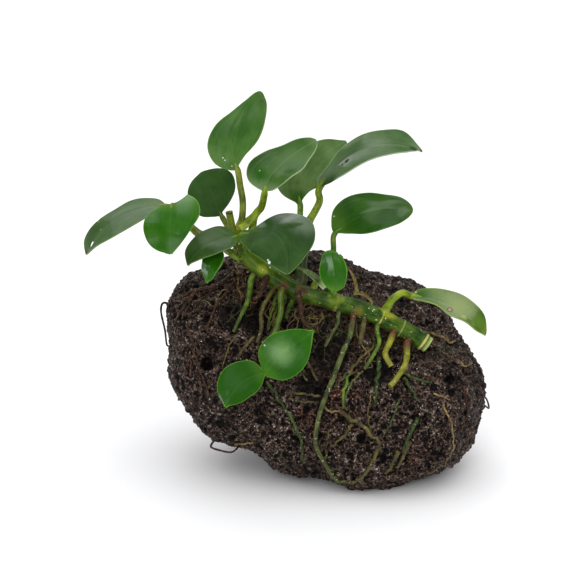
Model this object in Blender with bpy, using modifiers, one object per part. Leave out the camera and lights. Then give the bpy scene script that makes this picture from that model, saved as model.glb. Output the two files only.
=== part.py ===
"""A small anubias whose creeping rhizome and roots hold it to a rounded lump of lava stone.

Lengths in the tables are millimetres. +Z is up, -Y faces the viewer, and the origin is the middle of the
stone's flat underside. Every blade, leaf stalk, stem and root is an object of its own, and so is the stone.
"""

import math
import random

import bmesh
import bpy
from mathutils import Matrix, Vector
from mathutils.bvhtree import BVHTree

MM = 0.001
GAP = 0.35  # air left between pieces that touch
SEAT = 0.25  # more air at a stalk or root, whose flat end meets a ringed and bent stem

# Stone: overlapping ellipsoid lumps as (centre, radii), merged into one body and sawn flat at z = 0.
STONE_LUMPS = [
    ((-6, 3, 38), (42, 36, 36)),
    ((-40, -2, 44), (24, 33, 29)),
    ((-49, 1, 60), (15, 22, 16)),
    ((-30, 2, 60), (20, 22, 20)),
    ((-38, 4, 66), (13, 17, 15)),
    ((-38, -6, 30), (18, 26, 20)),
    ((-8, -3, 20), (28, 33, 23)),
    ((12, -4, 18), (27, 37, 26)),
    ((29, -4, 23), (26, 36, 26)),
    ((31, -3, 30), (26, 34, 23)),
    ((21, 12, 46), (26, 22, 24)),
    ((-7, 9, 57), (24, 24, 24)),
]
STONE_VOXEL = 5.6
STONE_LUMPINESS = 3.4
STONE_LUMP_SIZE = 9.0

# Gas pits seen on the front of the stone, as (x, z, radius). More are spread over the other sides.
FRONT_PITS = [
    (-47, 50, 2.8),
    (-53, 68, 1.8),
    (-52, 33, 1.9),
    (-41, 28, 2.0),
    (-34, 22, 1.7),
    (-27, 31, 2.2),
    (-38, 57, 2.2),
    (-8, 53, 3.4),
    (3, 46, 3.0),
    (-13, 45, 2.3),
    (10, 24, 2.6),
    (14, 41, 2.4),
    (32, 31, 2.2),
    (41, 43, 2.8),
    (38, 20, 2.0),
    (24, 8, 1.9),
    (-22, 13, 1.9),
    (-5, 17, 2.1),
]
OTHER_PITS = 10
PIT_RADIUS = (1.7, 3.2)
PIT_SPACING = 8.5
PIT_SEED = 11

# Rhizome: the thick creeping stem, cut end at the right, growing tip at the upper left. (x, y, z, radius)
RHIZOME = [
    (33.2, -20.4, 53.9, 3.1),
    (27.4, -19.6, 57.8, 3.2),
    (21.1, -19.2, 61.2, 3.3),
    (10.0, -20.3, 67.1, 3.3),
    (-2.8, -20.3, 70.9, 3.1),
    (-13.6, -18.4, 73.3, 3.2),
    (-19.1, -16.6, 76.2, 3.3),
    (-27.5, -13.0, 81.0, 3.3),
    (-34.0, -10.6, 87.0, 3.3),
    (-36.6, -10.2, 95.0, 2.8),
]
RHIZOME_STEP = 3.0
RING_PLACES = (30.8, 23.3, 15.8, 6.0, -0.4, -8.0, -15.5, -23.0, -29.5)  # x of the raised leaf scars
RING_RISE = 0.4
RING_REACH = 1.3
# The branch that carries the two upper right leaves: share of the rhizome's length, heading, points, radius.
BRANCH = (0.62, (0.1, 0.75, 0.6), [(-13.2, -8.5, 82.0), (-11.8, -4.0, 89.0), (-10.6, -3.0, 95.0)], 2.3)
# The runner that carries the two youngest leaves hangs down the front of the stone.
RUNNER = (0.66, (0.1, -0.9, -0.5), [(-20.6, -23.8, 68.0), (-22.6, -27.6, 62.0), (-25.2, -31.6, 56.5),
                                    (-26.2, -34.6, 51.8)], 1.2)

# Leaves: blade base and tip, the way the upper side faces, how far the midrib bows upwards and sideways and the share
# of the length where it turns (half way unless stated), the half widths left and right of the midrib at the blade's
# stations, cupping, and the depth of the lobes left and right of the stalk.
LEAVES = {
    "top": dict(base=(-36.3, -12.0, 117.9), tip=(-27.6, -6.0, 144.7), face=(-0.25, -0.9, 0.3), turn=0.35, arch=1.5,
                sweep=4.0, left=(0.5, 3.5, 7.0, 9.0, 9.0, 7.0, 4.0), right=(3.5, 7.5, 9.5, 8.0, 4.5, 2.5, 1.5),
                cup=0.1, lobes=(0.8, 0.0)),
    "back_left": dict(base=(-42.6, -4.0, 98.7), tip=(-49.4, 4.0, 113.1), face=(-0.1, -0.93, 0.35), arch=1.5,
                      sweep=0.3, left=(1.0, 5.0, 8.5, 10.0, 10.0, 8.0, 3.5),
                      right=(2.5, 6.5, 8.0, 8.5, 7.5, 5.0, 2.0), cup=0.08, lobes=(0.0, 0.3)),
    "front_left": dict(base=(-59.1, -24.7, 108.4), tip=(-59.1, -32.7, 92.4), face=(-0.2, -0.85, 0.5), arch=3.5,
                       sweep=0.7, left=(4.5, 8.0, 9.5, 10.0, 9.5, 8.0, 4.0), right=(4.5, 9.5, 10.5, 8.0, 5.5, 3.0, 1.5),
                       cup=-0.05, lobes=(0.5, 4.0)),
    "far_left": dict(base=(-62.1, -7.4, 103.0), tip=(-91.2, -15.4, 87.1), face=(-0.3, -0.2, 0.93), arch=6.0,
                     sweep=0.5, left=(6.5, 8.0, 8.5, 7.5, 8.0, 9.0, 7.5),
                     right=(1.5, 7.0, 10.5, 12.0, 11.0, 6.5, 2.5), cup=0.04, lobes=(0.5, 0.5)),
    "middle": dict(base=(-26.4, -16.0, 110.9), tip=(-7.9, -8.0, 127.5), face=(-0.35, -0.75, 0.55), turn=0.25,
                   arch=1.0, sweep=2.6, left=(3.0, 5.0, 6.5, 7.5, 8.0, 5.5, 3.0),
                   right=(1.8, 7.0, 9.5, 8.0, 5.5, 4.5, 2.5), cup=0.12, lobes=(0.3, 0.0)),
    "back_right": dict(base=(-13.6, 3.0, 101.0), tip=(3.7, 15.0, 121.9), face=(-0.3, -0.85, 0.45), turn=0.35,
                       arch=2.0, sweep=5.0, left=(1.0, 3.5, 7.5, 8.5, 8.5, 6.5, 3.5),
                       right=(2.0, 7.0, 10.5, 9.0, 6.5, 4.5, 1.5), cup=0.08, lobes=(0.0, 0.0)),
    "upper_right": dict(base=(-6.6, 0.0, 107.8), tip=(30.6, -4.0, 122.5), face=(-0.3, -0.35, 0.88), arch=8.5,
                        sweep=1.5, left=(1.5, 6.0, 9.0, 9.0, 7.5, 4.0, 0.5),
                        right=(4.0, 4.0, 7.0, 8.5, 8.5, 8.5, 3.0), cup=0.06, lobes=(0.5, 0.5)),
    "mid_right": dict(base=(-0.9, -10.0, 93.1), tip=(26.8, -14.0, 102.9), face=(-0.2, -0.85, 0.45), arch=1.5,
                      sweep=3.6, left=(0.5, 3.5, 6.5, 7.5, 7.0, 5.5, 3.0),
                      right=(3.0, 7.0, 8.5, 7.5, 5.5, 4.5, 2.5), cup=0.08, lobes=(0.5, 0.5)),
    "front_centre": dict(base=(-34.0, -20.4, 95.8), tip=(-18.3, -37.0, 86.4), face=(0.1, -0.5, 0.86), arch=6.0,
                         sweep=6.0, left=(4.0, 8.5, 12.0, 12.5, 12.0, 8.5, 3.5),
                         right=(2.5, 2.0, 11.0, 15.0, 12.0, 6.5, 2.5), cup=-0.02, lobes=(0.5, 0.5)),
    "front_low_left": dict(base=(-39.0, -20.2, 94.6), tip=(-53.4, -28.0, 86.7), face=(-0.15, -0.45, 0.88),
                           arch=2.5, sweep=-0.8, left=(5.0, 6.5, 7.0, 7.5, 6.5, 5.0, 2.0),
                           right=(2.5, 5.0, 6.5, 6.0, 4.5, 2.5, 0.5), cup=0.0, lobes=(0.5, 0.5)),
    "young_upright": dict(base=(-1.6, -24.4, 77.0), tip=(-3.0, -20.4, 90.0), face=(-0.15, -0.95, 0.25), arch=1.0,
                          sweep=-0.7, left=(1.5, 3.5, 4.5, 5.0, 4.5, 3.0, 1.0),
                          right=(1.5, 3.0, 4.5, 5.0, 4.5, 3.5, 1.5), cup=0.15, lobes=(0.0, 0.0)),
    "young_hanging": dict(base=(-42.9, -21.0, 91.3), tip=(-46.9, -28.0, 80.2), face=(-0.3, -0.85, 0.4), arch=1.5,
                          sweep=0.0, left=(1.0, 3.0, 4.0, 3.5, 3.0, 1.5, 0.5),
                          right=(1.0, 3.0, 4.0, 4.0, 3.0, 2.0, 0.5), cup=0.15, lobes=(0.0, 0.0)),
    "low_right": dict(base=(27.6, -16.0, 71.5), tip=(53.9, -22.0, 58.4), face=(0.35, -0.6, 0.72), arch=4.2,
                      sweep=0.5, left=(2.0, 2.0, 2.0, 4.0, 3.0, 2.5, 1.0),
                      right=(3.0, 4.5, 6.0, 7.0, 6.5, 5.5, 2.5), cup=0.08, lobes=(0.0, 0.0)),
    "runner_right": dict(base=(-25.6, -38.0, 50.3), tip=(-9.1, -42.0, 67.0), face=(-0.1, -0.9, 0.4), arch=1.5,
                         sweep=0.6, left=(2.0, 6.0, 8.0, 8.5, 7.0, 4.0, 1.0),
                         right=(1.5, 6.0, 8.0, 8.0, 6.0, 3.5, 1.0), cup=-0.06, lobes=(0.5, 0.5)),
    "runner_left": dict(base=(-27.6, -38.3, 48.6), tip=(-40.3, -42.0, 38.3), face=(-0.1, -0.92, 0.35), arch=1.5,
                        sweep=-2.2, left=(0.8, 5.0, 7.0, 8.0, 7.0, 4.5, 1.0),
                        right=(1.0, 4.0, 5.5, 5.5, 5.0, 3.5, 1.0), cup=-0.06, lobes=(0.5, 0.5)),
}
BLADE_THICKNESS = 0.8
STATIONS = 8  # the blade's length is cut in so many steps, closer together towards base and tip
BLADE_COLUMNS = 4
BASE_HALF = 1.0
TIP_HALF = 0.5
LOBE_REACH = 0.45  # share of the length over which the lobes fade out
LOBE_CLEARANCE = 0.35  # share of a lobe's depth by which the stalk stays back
BESIDE = 1.0  # more air where a stalk meets its blade at an angle

# Leaf stalks: the stem and the share of its length where the stalk leaves, its heading (an offset on the end face at
# share 1), the points it passes, its radius at the stem and at the blade, and the way it arrives at the blade if that
# isn't the midrib's own.
STALKS = {
    "top": ("rhizome", 1.0, (1.3, -0.8, 0.4), [(-34.6, -12, 100), (-34.3, -12.4, 106), (-35.2, -12.4, 112)], 1.35, 1.1),
    "back_left": ("rhizome", 0.96, (-0.5, 0.9, 0.1), [], 1.2, 1.0),
    "front_left": ("rhizome", 0.92, (-1.0, -0.25, 0.0), [(-45, -12.4, 91.6), (-50.5, -14, 94), (-55, -18, 100.5)],
                   1.3, 0.9, (-0.5, -0.75, 0.5)),
    "far_left": ("rhizome", 0.9, (-0.9, 0.5, 0.0), [(-45, -7, 90.5), (-51, -6.5, 93), (-57, -5.5, 98.5)], 1.2, 1.0),
    "middle": ("rhizome", 0.97, (1.0, -0.15, 0.3), [(-30.2, -9, 99.5), (-27.6, -12.5, 104)], 1.5, 1.25),
    "front_centre": ("rhizome", 0.925, (0.7, -1.0, 0.0), [], 1.3, 1.1, (0.3, -0.9, 0.3)),
    "front_low_left": ("rhizome", 0.965, (-0.6, -1.0, 0.0), [], 1.2, 1.0, (-0.3, -0.95, 0.1)),
    "young_hanging": ("rhizome", 0.89, (-0.7, -0.8, 0.0), [(-40.5, -17, 90.4)], 0.9, 0.8),
    "back_right": ("branch", 0.93, (-0.6, 0.8, 0.1), [], 1.2, 1.1),
    "upper_right": ("branch", 1.0, (0.3, 0.2, 0), [(-8.2, -1, 99), (-6.3, 0, 103)], 1.45, 1.25),
    "mid_right": ("rhizome", 0.545, (0.1, 0.4, 0.9), [(-4.8, -15, 79), (-1.6, -12, 86)], 1.2, 1.0),
    "young_upright": ("rhizome", 0.475, (0.1, -0.45, 0.85), [], 1.0, 0.9),
    "low_right": ("rhizome", 0.235, (0.1, 0.0, 1.0), [(20.2, -19.4, 71.4), (23.6, -18.4, 73.3)], 1.5, 1.1),
}
STALK_STEP = 4.5
SQUARE_END = 1.2  # straight length at a stalk's ends, so that its flat faces sit square
# A leaf stalk that was cut short, from the growing tip: offset on the end face, the points it passes, radius.
STUB = ((-1.5, 0.3, 0), [(-39.4, -10, 101.6)], 1.35)

# Roots: (start along the rhizome, way it leaves, points that it passes, radius at the rhizome, radius at the end).
ROOTS = {
    "root_green_left": (0.80, (-0.3, -0.6, -0.8), [(-31.9, -16.5, 73.5), (-33, -19.5, 69.5), (-35, -23, 66.2),
                                                  (-37.5, -28.2, 62)], 1.3, 0.6),
    "root_brown_knotted": (0.745, (0.2, -0.9, -0.4), [(-28, -19.5, 73.2), (-30.6, -20.5, 71.4)], 1.2, 0.8),
    "root_olive": (0.70, (-0.2, -0.6, -0.8), [(-27.5, -22.5, 68), (-27.6, -25, 62), (-29.4, -28, 57.5)], 1.0, 0.7),
    "root_brown_draped": (0.60, (0.1, -0.9, 0.1), [(-13.4, -23.6, 70), (-13.2, -24, 66), (-11, -25.2, 63),
                                                  (-8, -26.2, 61)], 1.1, 0.6),
    "root_short_pale": (0.42, (-0.1, -0.6, -0.8), [(0, -23.5, 63.3), (-2.2, -26.4, 60.2), (-4.6, -29.4, 56.6)],
                        0.9, 0.5),
    "root_long": (0.36, (0.0, -0.8, -0.6), [(4.4, -26.5, 60), (1.6, -30.3, 54.5), (-1.6, -33.5, 46.5),
                                           (-4.6, -35, 39), (-7, -36, 31.4), (-8.0, -37, 22.5), (-5.6, -36, 15.5),
                                           (-1.5, -34, 8.5), (3, -32, 5)], 1.1, 0.7),
    "root_stub_pale": (0.305, (-0.1, -0.7, -0.7), [(8.6, -25.4, 59.8), (8.0, -27.4, 56.6)], 1.05, 0.9),
    "root_bright": (0.24, (0.0, -0.7, -0.7), [(15.1, -24.6, 56.4), (13.4, -26.8, 53.2), (9.6, -30, 48.2)], 0.9, 0.7),
    "root_yellow_hooked": (0.165, (-0.1, -0.8, -0.6), [(18.6, -24.6, 55.6), (17.2, -26.6, 52.6),
                                                      (19.4, -28.2, 48.6)], 1.35, 1.0),
    "root_yellow_end": (0.085, (0.0, -0.8, -0.7), [(25.2, -25.6, 51.8), (24.2, -28, 48.6), (21.4, -30.2, 44.8),
                                                  (18.9, -32, 42.4)], 1.35, 0.95),
}
ROOT_STEP = 3.6
ROOT_LIFT = 0.6  # air under a root, which also covers the flats of its facets


def clear_scene():
    for obj in list(bpy.data.objects):
        bpy.data.objects.remove(obj, do_unlink=True)


def collection(name):
    made = bpy.data.collections.new(name)
    bpy.context.scene.collection.children.link(made)
    return made


def material(name, colour, roughness):
    made = bpy.data.materials.new(name)
    made.use_nodes = True
    shader = made.node_tree.nodes["Principled BSDF"]
    shader.inputs["Base Color"].default_value = (*colour, 1)
    shader.inputs["Roughness"].default_value = roughness
    return made


def new_object(name, data, group, finish=None):
    obj = bpy.data.objects.new(name, data)
    group.objects.link(obj)
    if finish:
        data.materials.append(finish)
    return obj


def smooth_route(points, step):
    """Points at an even step along a Catmull-Rom curve through the given ones. Each may carry a radius."""
    ends = [points[0], *points, points[-1]]
    dense = []
    for before, start, stop, after in zip(ends, ends[1:], ends[2:], ends[3:]):
        pieces = 12
        for i in range(pieces):
            t = i / pieces
            dense.append(
                0.5 * (2 * start + (stop - before) * t + (2 * before - 5 * start + 4 * stop - after) * t * t
                       + (3 * start - before - 3 * stop + after) * t ** 3)
            )
    dense.append(points[-1].copy())
    length = [0.0]
    for a, b in zip(dense, dense[1:]):
        length.append(length[-1] + (b.to_3d() - a.to_3d()).length)
    count = max(2, round(length[-1] / step))
    route = []
    k = 0
    for i in range(count + 1):
        want = length[-1] * i / count
        while k < len(length) - 2 and length[k + 1] < want:
            k += 1
        share = (want - length[k]) / max(length[k + 1] - length[k], 1e-9)
        route.append(dense[k].lerp(dense[k + 1], min(1.0, share)))
    return route


def tube(name, route, group, finish, widen=0.0):
    """A round stem along the route, whose points carry their radius in w."""
    curve = bpy.data.curves.new(name, "CURVE")
    curve.dimensions = "3D"
    curve.bevel_depth = MM
    curve.bevel_resolution = 2
    curve.use_fill_caps = True
    spline = curve.splines.new("POLY")
    spline.points.add(len(route) - 1)
    for point, place in zip(spline.points, route):
        point.co = (*(place.to_3d() * MM), 1)
        point.radius = place.w + widen
    return new_object(name, curve, group, finish)


def along(route, share):
    """Place and direction at a share of the way along the route."""
    at = share * (len(route) - 1)
    k = min(int(at), len(route) - 2)
    place = route[k].lerp(route[k + 1], at - k)
    return place, (route[k + 1].to_3d() - route[k].to_3d()).normalized()


def leaving(route, share, heading):
    """Where a stalk or root starts: just outside the stem's skin and square to it, or, at share 1, on its end face."""
    place, direction = along(route, share)
    heading = Vector(heading)
    if share < 1.0:
        heading = (heading - heading.dot(direction) * direction).normalized()
        return place.to_3d() + heading * (place.w + GAP + SEAT), heading
    return place.to_3d() + direction * GAP + heading, direction


def tapered(places, thick, thin):
    """The places with a radius in w that runs evenly from thick to thin."""
    points = []
    for i, place in enumerate(places):
        points.append(Vector(place).to_4d())
        points[-1].w = thick + (thin - thick) * i / (len(places) - 1)
    return points


def side_route(stem, share, heading, passes, thick, thin, step, end=None):
    """A route that leaves a stem squarely, passes the given points and may finish at an end point and direction."""
    start, heading = leaving(stem, share, heading)
    places = [start + heading * SQUARE_END, *passes]
    if end:
        places.append(end[0] - end[1] * SQUARE_END)
    route = smooth_route(tapered(places, thick, thin), step)
    first = start.to_4d()
    first.w = thick
    route.insert(0, first)
    if end:
        last = end[0].to_4d()
        last.w = thin
        route.append(last)
    return route


# The stone

def stone_body(group, finish):
    work = bmesh.new()
    for centre, radii in STONE_LUMPS:
        place = Matrix.Translation(Vector(centre) * MM) @ Matrix.Diagonal((*(r * MM for r in radii), 1))
        bmesh.ops.create_icosphere(work, subdivisions=4, radius=1, matrix=place)
    mesh = bpy.data.meshes.new("lava_stone")
    work.to_mesh(mesh)
    work.free()
    stone = new_object("lava_stone", mesh, group, finish)
    merge = stone.modifiers.new("merge lumps", "REMESH")
    merge.mode = "VOXEL"
    merge.voxel_size = STONE_VOXEL * MM
    soften = stone.modifiers.new("soften joints", "SMOOTH")
    soften.factor = 0.5
    soften.iterations = 3
    grain = bpy.data.textures.new("lumps", "CLOUDS")
    grain.noise_scale = STONE_LUMP_SIZE * MM
    grain.noise_depth = 2
    swell = stone.modifiers.new("lumps", "DISPLACE")
    swell.texture = grain
    swell.texture_coords = "LOCAL"
    swell.mid_level = 0.5
    swell.strength = STONE_LUMPINESS * MM
    return stone


def pit_places(tree):
    """Pits on the front from the list, then others dropped at random from all round, never too close together."""
    places = []
    for x, z, radius in FRONT_PITS:
        hit, normal, _, _ = tree.ray_cast(Vector((x, -90, z)) * MM, Vector((0, 1, 0)))
        places.append((hit, normal, radius * MM))
    dice = random.Random(PIT_SEED)
    centre = Vector((-3, 0, 40)) * MM
    while len(places) < len(FRONT_PITS) + OTHER_PITS:
        way = Vector((dice.gauss(0, 1), dice.gauss(0.6, 1), dice.gauss(0.2, 1))).normalized()
        radius = dice.uniform(*PIT_RADIUS) * MM
        hit, normal, _, _ = tree.ray_cast(centre + way * 0.12, -way)
        if hit.z < 7 * MM or any((hit - other[0]).length < PIT_SPACING * MM for other in places):
            continue
        places.append((hit, normal, radius))
    return places


def pit_cutter(tree, group):
    work = bmesh.new()
    for i, (hit, normal, radius) in enumerate(pit_places(tree)):
        turned = Matrix.Rotation(i * 0.7, 4, normal)
        place = Matrix.Translation(hit + normal * radius * 0.25) @ turned
        bmesh.ops.create_icosphere(work, subdivisions=1, radius=radius, matrix=place)
    mesh = bpy.data.meshes.new("pits")
    work.to_mesh(mesh)
    work.free()
    return new_object("pits", mesh, group)


def cut(obj, cutter, label):
    cutter.hide_render = True
    cutter.display_type = "WIRE"
    boolean = obj.modifiers.new(label, "BOOLEAN")
    boolean.operation = "DIFFERENCE"
    boolean.object = cutter
    return boolean


def groove_cutter(name, route, group):
    """A closed mesh of the stem, wider by the gap, to seat the stem in the stone."""
    curve = tube(name, route, group, None, widen=GAP)
    mesh = bpy.data.meshes.new_from_object(curve.evaluated_get(bpy.context.evaluated_depsgraph_get()))
    bpy.data.objects.remove(curve)
    work = bmesh.new()
    work.from_mesh(mesh)
    bmesh.ops.remove_doubles(work, verts=work.verts, dist=0.01 * MM)
    work.to_mesh(mesh)
    work.free()
    return new_object(name, mesh, group)


def floor_cutter(group):
    work = bmesh.new()
    size = 0.25
    bmesh.ops.create_cube(work, size=size, matrix=Matrix.Translation((0, 0, -size / 2)))
    mesh = bpy.data.meshes.new("saw_cut")
    work.to_mesh(mesh)
    work.free()
    return new_object("saw_cut", mesh, group)


# Leaves

def half_width(leaf, u, side):
    """Half width of the blade at share u of its length, to the right of the midrib where side is positive."""
    sizes = (BASE_HALF, *leaf["right" if side > 0 else "left"], TIP_HALF)
    at = math.acos(1 - 2 * u) / math.pi * STATIONS
    k = min(int(at), STATIONS - 1)
    t = at - k
    before, start, stop, after = sizes[max(k - 1, 0)], sizes[k], sizes[k + 1], sizes[min(k + 2, STATIONS)]
    return 0.5 * (2 * start + (stop - before) * t + (2 * before - 5 * start + 4 * stop - after) * t * t
                  + (3 * start - before - 3 * stop + after) * t ** 3)


def midrib(leaf, u):
    """Place, direction, sideways and upward directions of the blade's midrib at share u of its length."""
    base = Vector(leaf["base"])
    tip = Vector(leaf["tip"])
    chord = (tip - base).normalized()
    up = Vector(leaf["face"])
    up = (up - up.dot(chord) * chord).normalized()
    side = up.cross(chord)
    control = base.lerp(tip, leaf.get("turn", 0.5)) + 2 * (leaf["arch"] * up + leaf["sweep"] * side)
    place = (1 - u) ** 2 * base + 2 * u * (1 - u) * control + u * u * tip
    forward = ((1 - u) * (control - base) + u * (tip - control)).normalized()
    across = up.cross(forward).normalized()
    return place, forward, across, forward.cross(across)


def blade_point(leaf, u, v):
    place, forward, across, up = midrib(leaf, u)
    half = half_width(leaf, u, v)
    lobe = leaf["lobes"][v > 0]
    back = lobe * v * v * max(0.0, 1 - u / LOBE_REACH) ** 2 * min(1.0, u / 0.04)
    return place + across * half * v - forward * back + up * leaf["cup"] * half * v * v


def blade(name, leaf, group, finish):
    work = bmesh.new()
    rows = [
        [work.verts.new(blade_point(leaf, u, 2 * j / BLADE_COLUMNS - 1) * MM) for j in range(BLADE_COLUMNS + 1)]
        for u in (0.5 - 0.5 * math.cos(math.pi * k / STATIONS) for k in range(STATIONS + 1))
    ]
    for low, high in zip(rows, rows[1:]):
        for j in range(BLADE_COLUMNS):
            work.faces.new((low[j + 1], low[j], high[j], high[j + 1]))
    bmesh.ops.triangulate(work, faces=work.faces, quad_method="BEAUTY")
    mesh = bpy.data.meshes.new(name)
    work.to_mesh(mesh)
    work.free()
    mesh.shade_smooth()
    obj = new_object(name, mesh, group, finish)
    thick = obj.modifiers.new("thickness", "SOLIDIFY")
    thick.thickness = BLADE_THICKNESS * MM
    thick.offset = 0
    return obj


def stalk_route(leaf, stems, spec):
    stem, share, heading, passes, thick, thin, *arrives = spec
    base, forward, _, _ = midrib(leaf, 0.0)
    away = GAP + SEAT + LOBE_CLEARANCE * max(leaf["lobes"])
    if arrives:
        forward = Vector(arrives[0]).normalized()
        away += BESIDE
    end = base - forward * away
    return side_route(stems[stem], share, heading, passes, thick, thin, STALK_STEP, (end, forward))


# Stems and roots

def rhizome_route():
    """The rhizome with a low ring at each leaf scar."""
    route = smooth_route([Vector(p) for p in RHIZOME], RHIZOME_STEP)
    for point in route:
        for ring in RING_PLACES:
            point.w += RING_RISE * math.exp(-((point.x - ring) / RING_REACH) ** 2)
    return route


def lay(route, tree):
    """Lifts a route's points out of the stone until each clears it by its radius and the air under a root."""
    for _ in range(6):
        for before, point in zip(route[1:], route[2:]):
            for spot in (point, point.lerp(before, 0.5)):
                near, normal, _, _ = tree.find_nearest(spot.to_3d() * MM)
                short = spot.w + ROOT_LIFT - (spot.to_3d() - near / MM).dot(normal)
                if short > 0:
                    lift = normal * short
                    point.x += lift.x
                    point.y += lift.y
                    point.z += lift.z
    return route


def main():
    clear_scene()
    parts = collection("anubias_on_stone")
    cutters = collection("cutters")
    lava = material("lava", (0.045, 0.035, 0.033), 0.85)
    stem_green = material("stem green", (0.16, 0.30, 0.03), 0.4)
    leaf_green = material("leaf green", (0.045, 0.16, 0.02), 0.3)
    root_olive = material("root olive", (0.20, 0.22, 0.06), 0.6)
    root_brown = material("root brown", (0.10, 0.05, 0.03), 0.7)

    stone = stone_body(parts, lava)
    graph = bpy.context.evaluated_depsgraph_get()
    tree = BVHTree.FromObject(stone, graph)

    stems = {"rhizome": rhizome_route()}
    share, heading, passes, radius = BRANCH
    stems["branch"] = side_route(stems["rhizome"], share, heading, passes, radius, radius, STALK_STEP)
    share, heading, passes, radius = RUNNER
    stems["runner"] = side_route(stems["rhizome"], share, heading, passes, radius, radius * 0.75, ROOT_STEP)
    lay(stems["runner"], tree)
    tube("rhizome", stems["rhizome"], parts, stem_green)
    tube("rhizome_branch", stems["branch"], parts, stem_green)
    tube("runner_stem", stems["runner"], parts, stem_green)

    cut(stone, pit_cutter(tree, cutters), "pits")
    cut(stone, floor_cutter(cutters), "flat underside")
    cut(stone, groove_cutter("rhizome_groove", stems["rhizome"], cutters), "seat of the rhizome")
    cut(stone, groove_cutter("branch_groove", stems["branch"], cutters), "seat of the branch")

    for name, leaf in LEAVES.items():
        blade(f"leaf_{name}_blade", leaf, parts, leaf_green)
        if name in STALKS:
            tube(f"leaf_{name}_stalk", stalk_route(leaf, stems, STALKS[name]), parts, stem_green)
    offset, passes, radius = STUB
    stub = side_route(stems["rhizome"], 1.0, offset, passes, radius, radius, STALK_STEP)
    tube("cut_leaf_stalk", stub, parts, stem_green)
    for name, (share, heading, passes, thick, thin) in ROOTS.items():
        finish = root_brown if "brown" in name else root_olive
        route = side_route(stems["rhizome"], share, heading, passes, thick, thin, ROOT_STEP)
        tube(name, lay(route, tree), parts, finish)


main()
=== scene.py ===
# %% [markdown]
# # A small anubias on a lava stone
# An anubias is a slow water plant whose thick green stem creeps over a stone and holds on with its roots. This
# lesson dresses the plain solids of such a plant: each blade, stalk, stem and root gets its real outline and a
# finish that looks wet and alive, and the stone gets its pores. The solids come first, because every piece that
# follows takes its place from them.

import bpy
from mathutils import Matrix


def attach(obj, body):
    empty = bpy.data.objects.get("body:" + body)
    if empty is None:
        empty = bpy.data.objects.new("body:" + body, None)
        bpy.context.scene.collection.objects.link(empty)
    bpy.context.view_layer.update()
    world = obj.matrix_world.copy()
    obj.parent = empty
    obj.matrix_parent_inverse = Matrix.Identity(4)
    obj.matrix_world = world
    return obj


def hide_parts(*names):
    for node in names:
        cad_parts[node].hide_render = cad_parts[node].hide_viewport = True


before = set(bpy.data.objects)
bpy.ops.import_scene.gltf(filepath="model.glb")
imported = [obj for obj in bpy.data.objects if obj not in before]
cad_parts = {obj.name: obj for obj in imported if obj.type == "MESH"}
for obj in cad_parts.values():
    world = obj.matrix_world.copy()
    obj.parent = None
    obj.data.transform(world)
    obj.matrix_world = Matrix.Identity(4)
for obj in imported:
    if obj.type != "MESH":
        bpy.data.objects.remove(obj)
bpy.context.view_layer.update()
print("solids:", len(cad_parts))

# %% Tools that the rest of the lesson needs
import math
import random

import bmesh
import bpy
from mathutils import Vector, noise
from mathutils.bvhtree import BVHTree
from mathutils.kdtree import KDTree

MM = 0.001
scene = bpy.context.scene

# %% [markdown]
# ## Camera
# The plant is seen from the front and a little above. A long lens keeps the leaves that stand nearer from growing
# too large. The camera stands on a line that rises 18 degrees from the point it looks at, so its place follows
# from that angle and a distance, and is not typed in as three loose numbers.

# %% Camera
CAMERA_RISE = math.radians(18)
CAMERA_DISTANCE = 0.6
CAMERA_TARGET = Vector((-18.0, 0.0, 69.2)) * MM
CAMERA_LENS = 100.0

lens = bpy.data.cameras.new("camera")
lens.lens = CAMERA_LENS
lens.sensor_width = 36.0
camera = bpy.data.objects.new("camera", lens)
scene.collection.objects.link(camera)
camera.location = CAMERA_TARGET + CAMERA_DISTANCE * Vector((0, -math.cos(CAMERA_RISE), math.sin(CAMERA_RISE)))
camera.rotation_euler = (math.pi / 2 - CAMERA_RISE, 0, 0)
scene.camera = camera
print("camera at", [round(v, 3) for v in camera.location])

# %% [markdown]
# ## Light
# The photo's floor is white close up to the stone, so most light comes softly from above. A wet leaf is dark green
# where it mirrors a dark room, and grey-white where it mirrors a lamp. So the room is dim, a lamp behind the plant
# puts a sheen on the blades that lie flat, and a low lamp at the left front puts the bright patches on the upright
# ones. Sun lamps light the whole floor evenly, and in a wet surface each shows as one soft disc.

# %% Light
ROOM_BRIGHTNESS = 0.32
LAMPS = {
    # name: (the way from the plant to the lamp, strength, width in degrees)
    "lamp above": ((0.1, -0.15, 1.0), 2.6, 95),
    "lamp behind": ((-0.2, 0.75, 0.6), 0.55, 50),
    "lamp in front": ((-0.25, -0.87, 0.38), 0.7, 28),
}

scene.view_settings.view_transform = "Standard"
world = bpy.data.worlds.new("dim room")
world.use_nodes = True
world.node_tree.nodes["Background"].inputs["Color"].default_value = (0.97, 0.98, 1.0, 1)
world.node_tree.nodes["Background"].inputs["Strength"].default_value = ROOM_BRIGHTNESS
scene.world = world


def sun(name, towards, brightness, width):
    """A soft lamp that is the same everywhere."""
    lamp = bpy.data.lights.new(name, "SUN")
    lamp.energy = brightness
    lamp.angle = math.radians(width)
    obj = bpy.data.objects.new(name, lamp)
    scene.collection.objects.link(obj)
    obj.rotation_euler = Vector(towards).to_track_quat("Z", "Y").to_euler()
    return obj


for name, (towards, brightness, width) in LAMPS.items():
    sun(name, towards, brightness, width)
print("lamps:", len(LAMPS))

# %% [markdown]
# ## Writing a finish as a sum
# A finish is a net of small nodes, and a net is hard to read. The class below wraps one output of a node, so that
# `1 - mask * 0.5` adds the Math nodes by itself. Everything else goes through `node`, which sets a node's own
# settings first and then its sockets. Colours are given as a paint program shows them, from 0 to 255.

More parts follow.
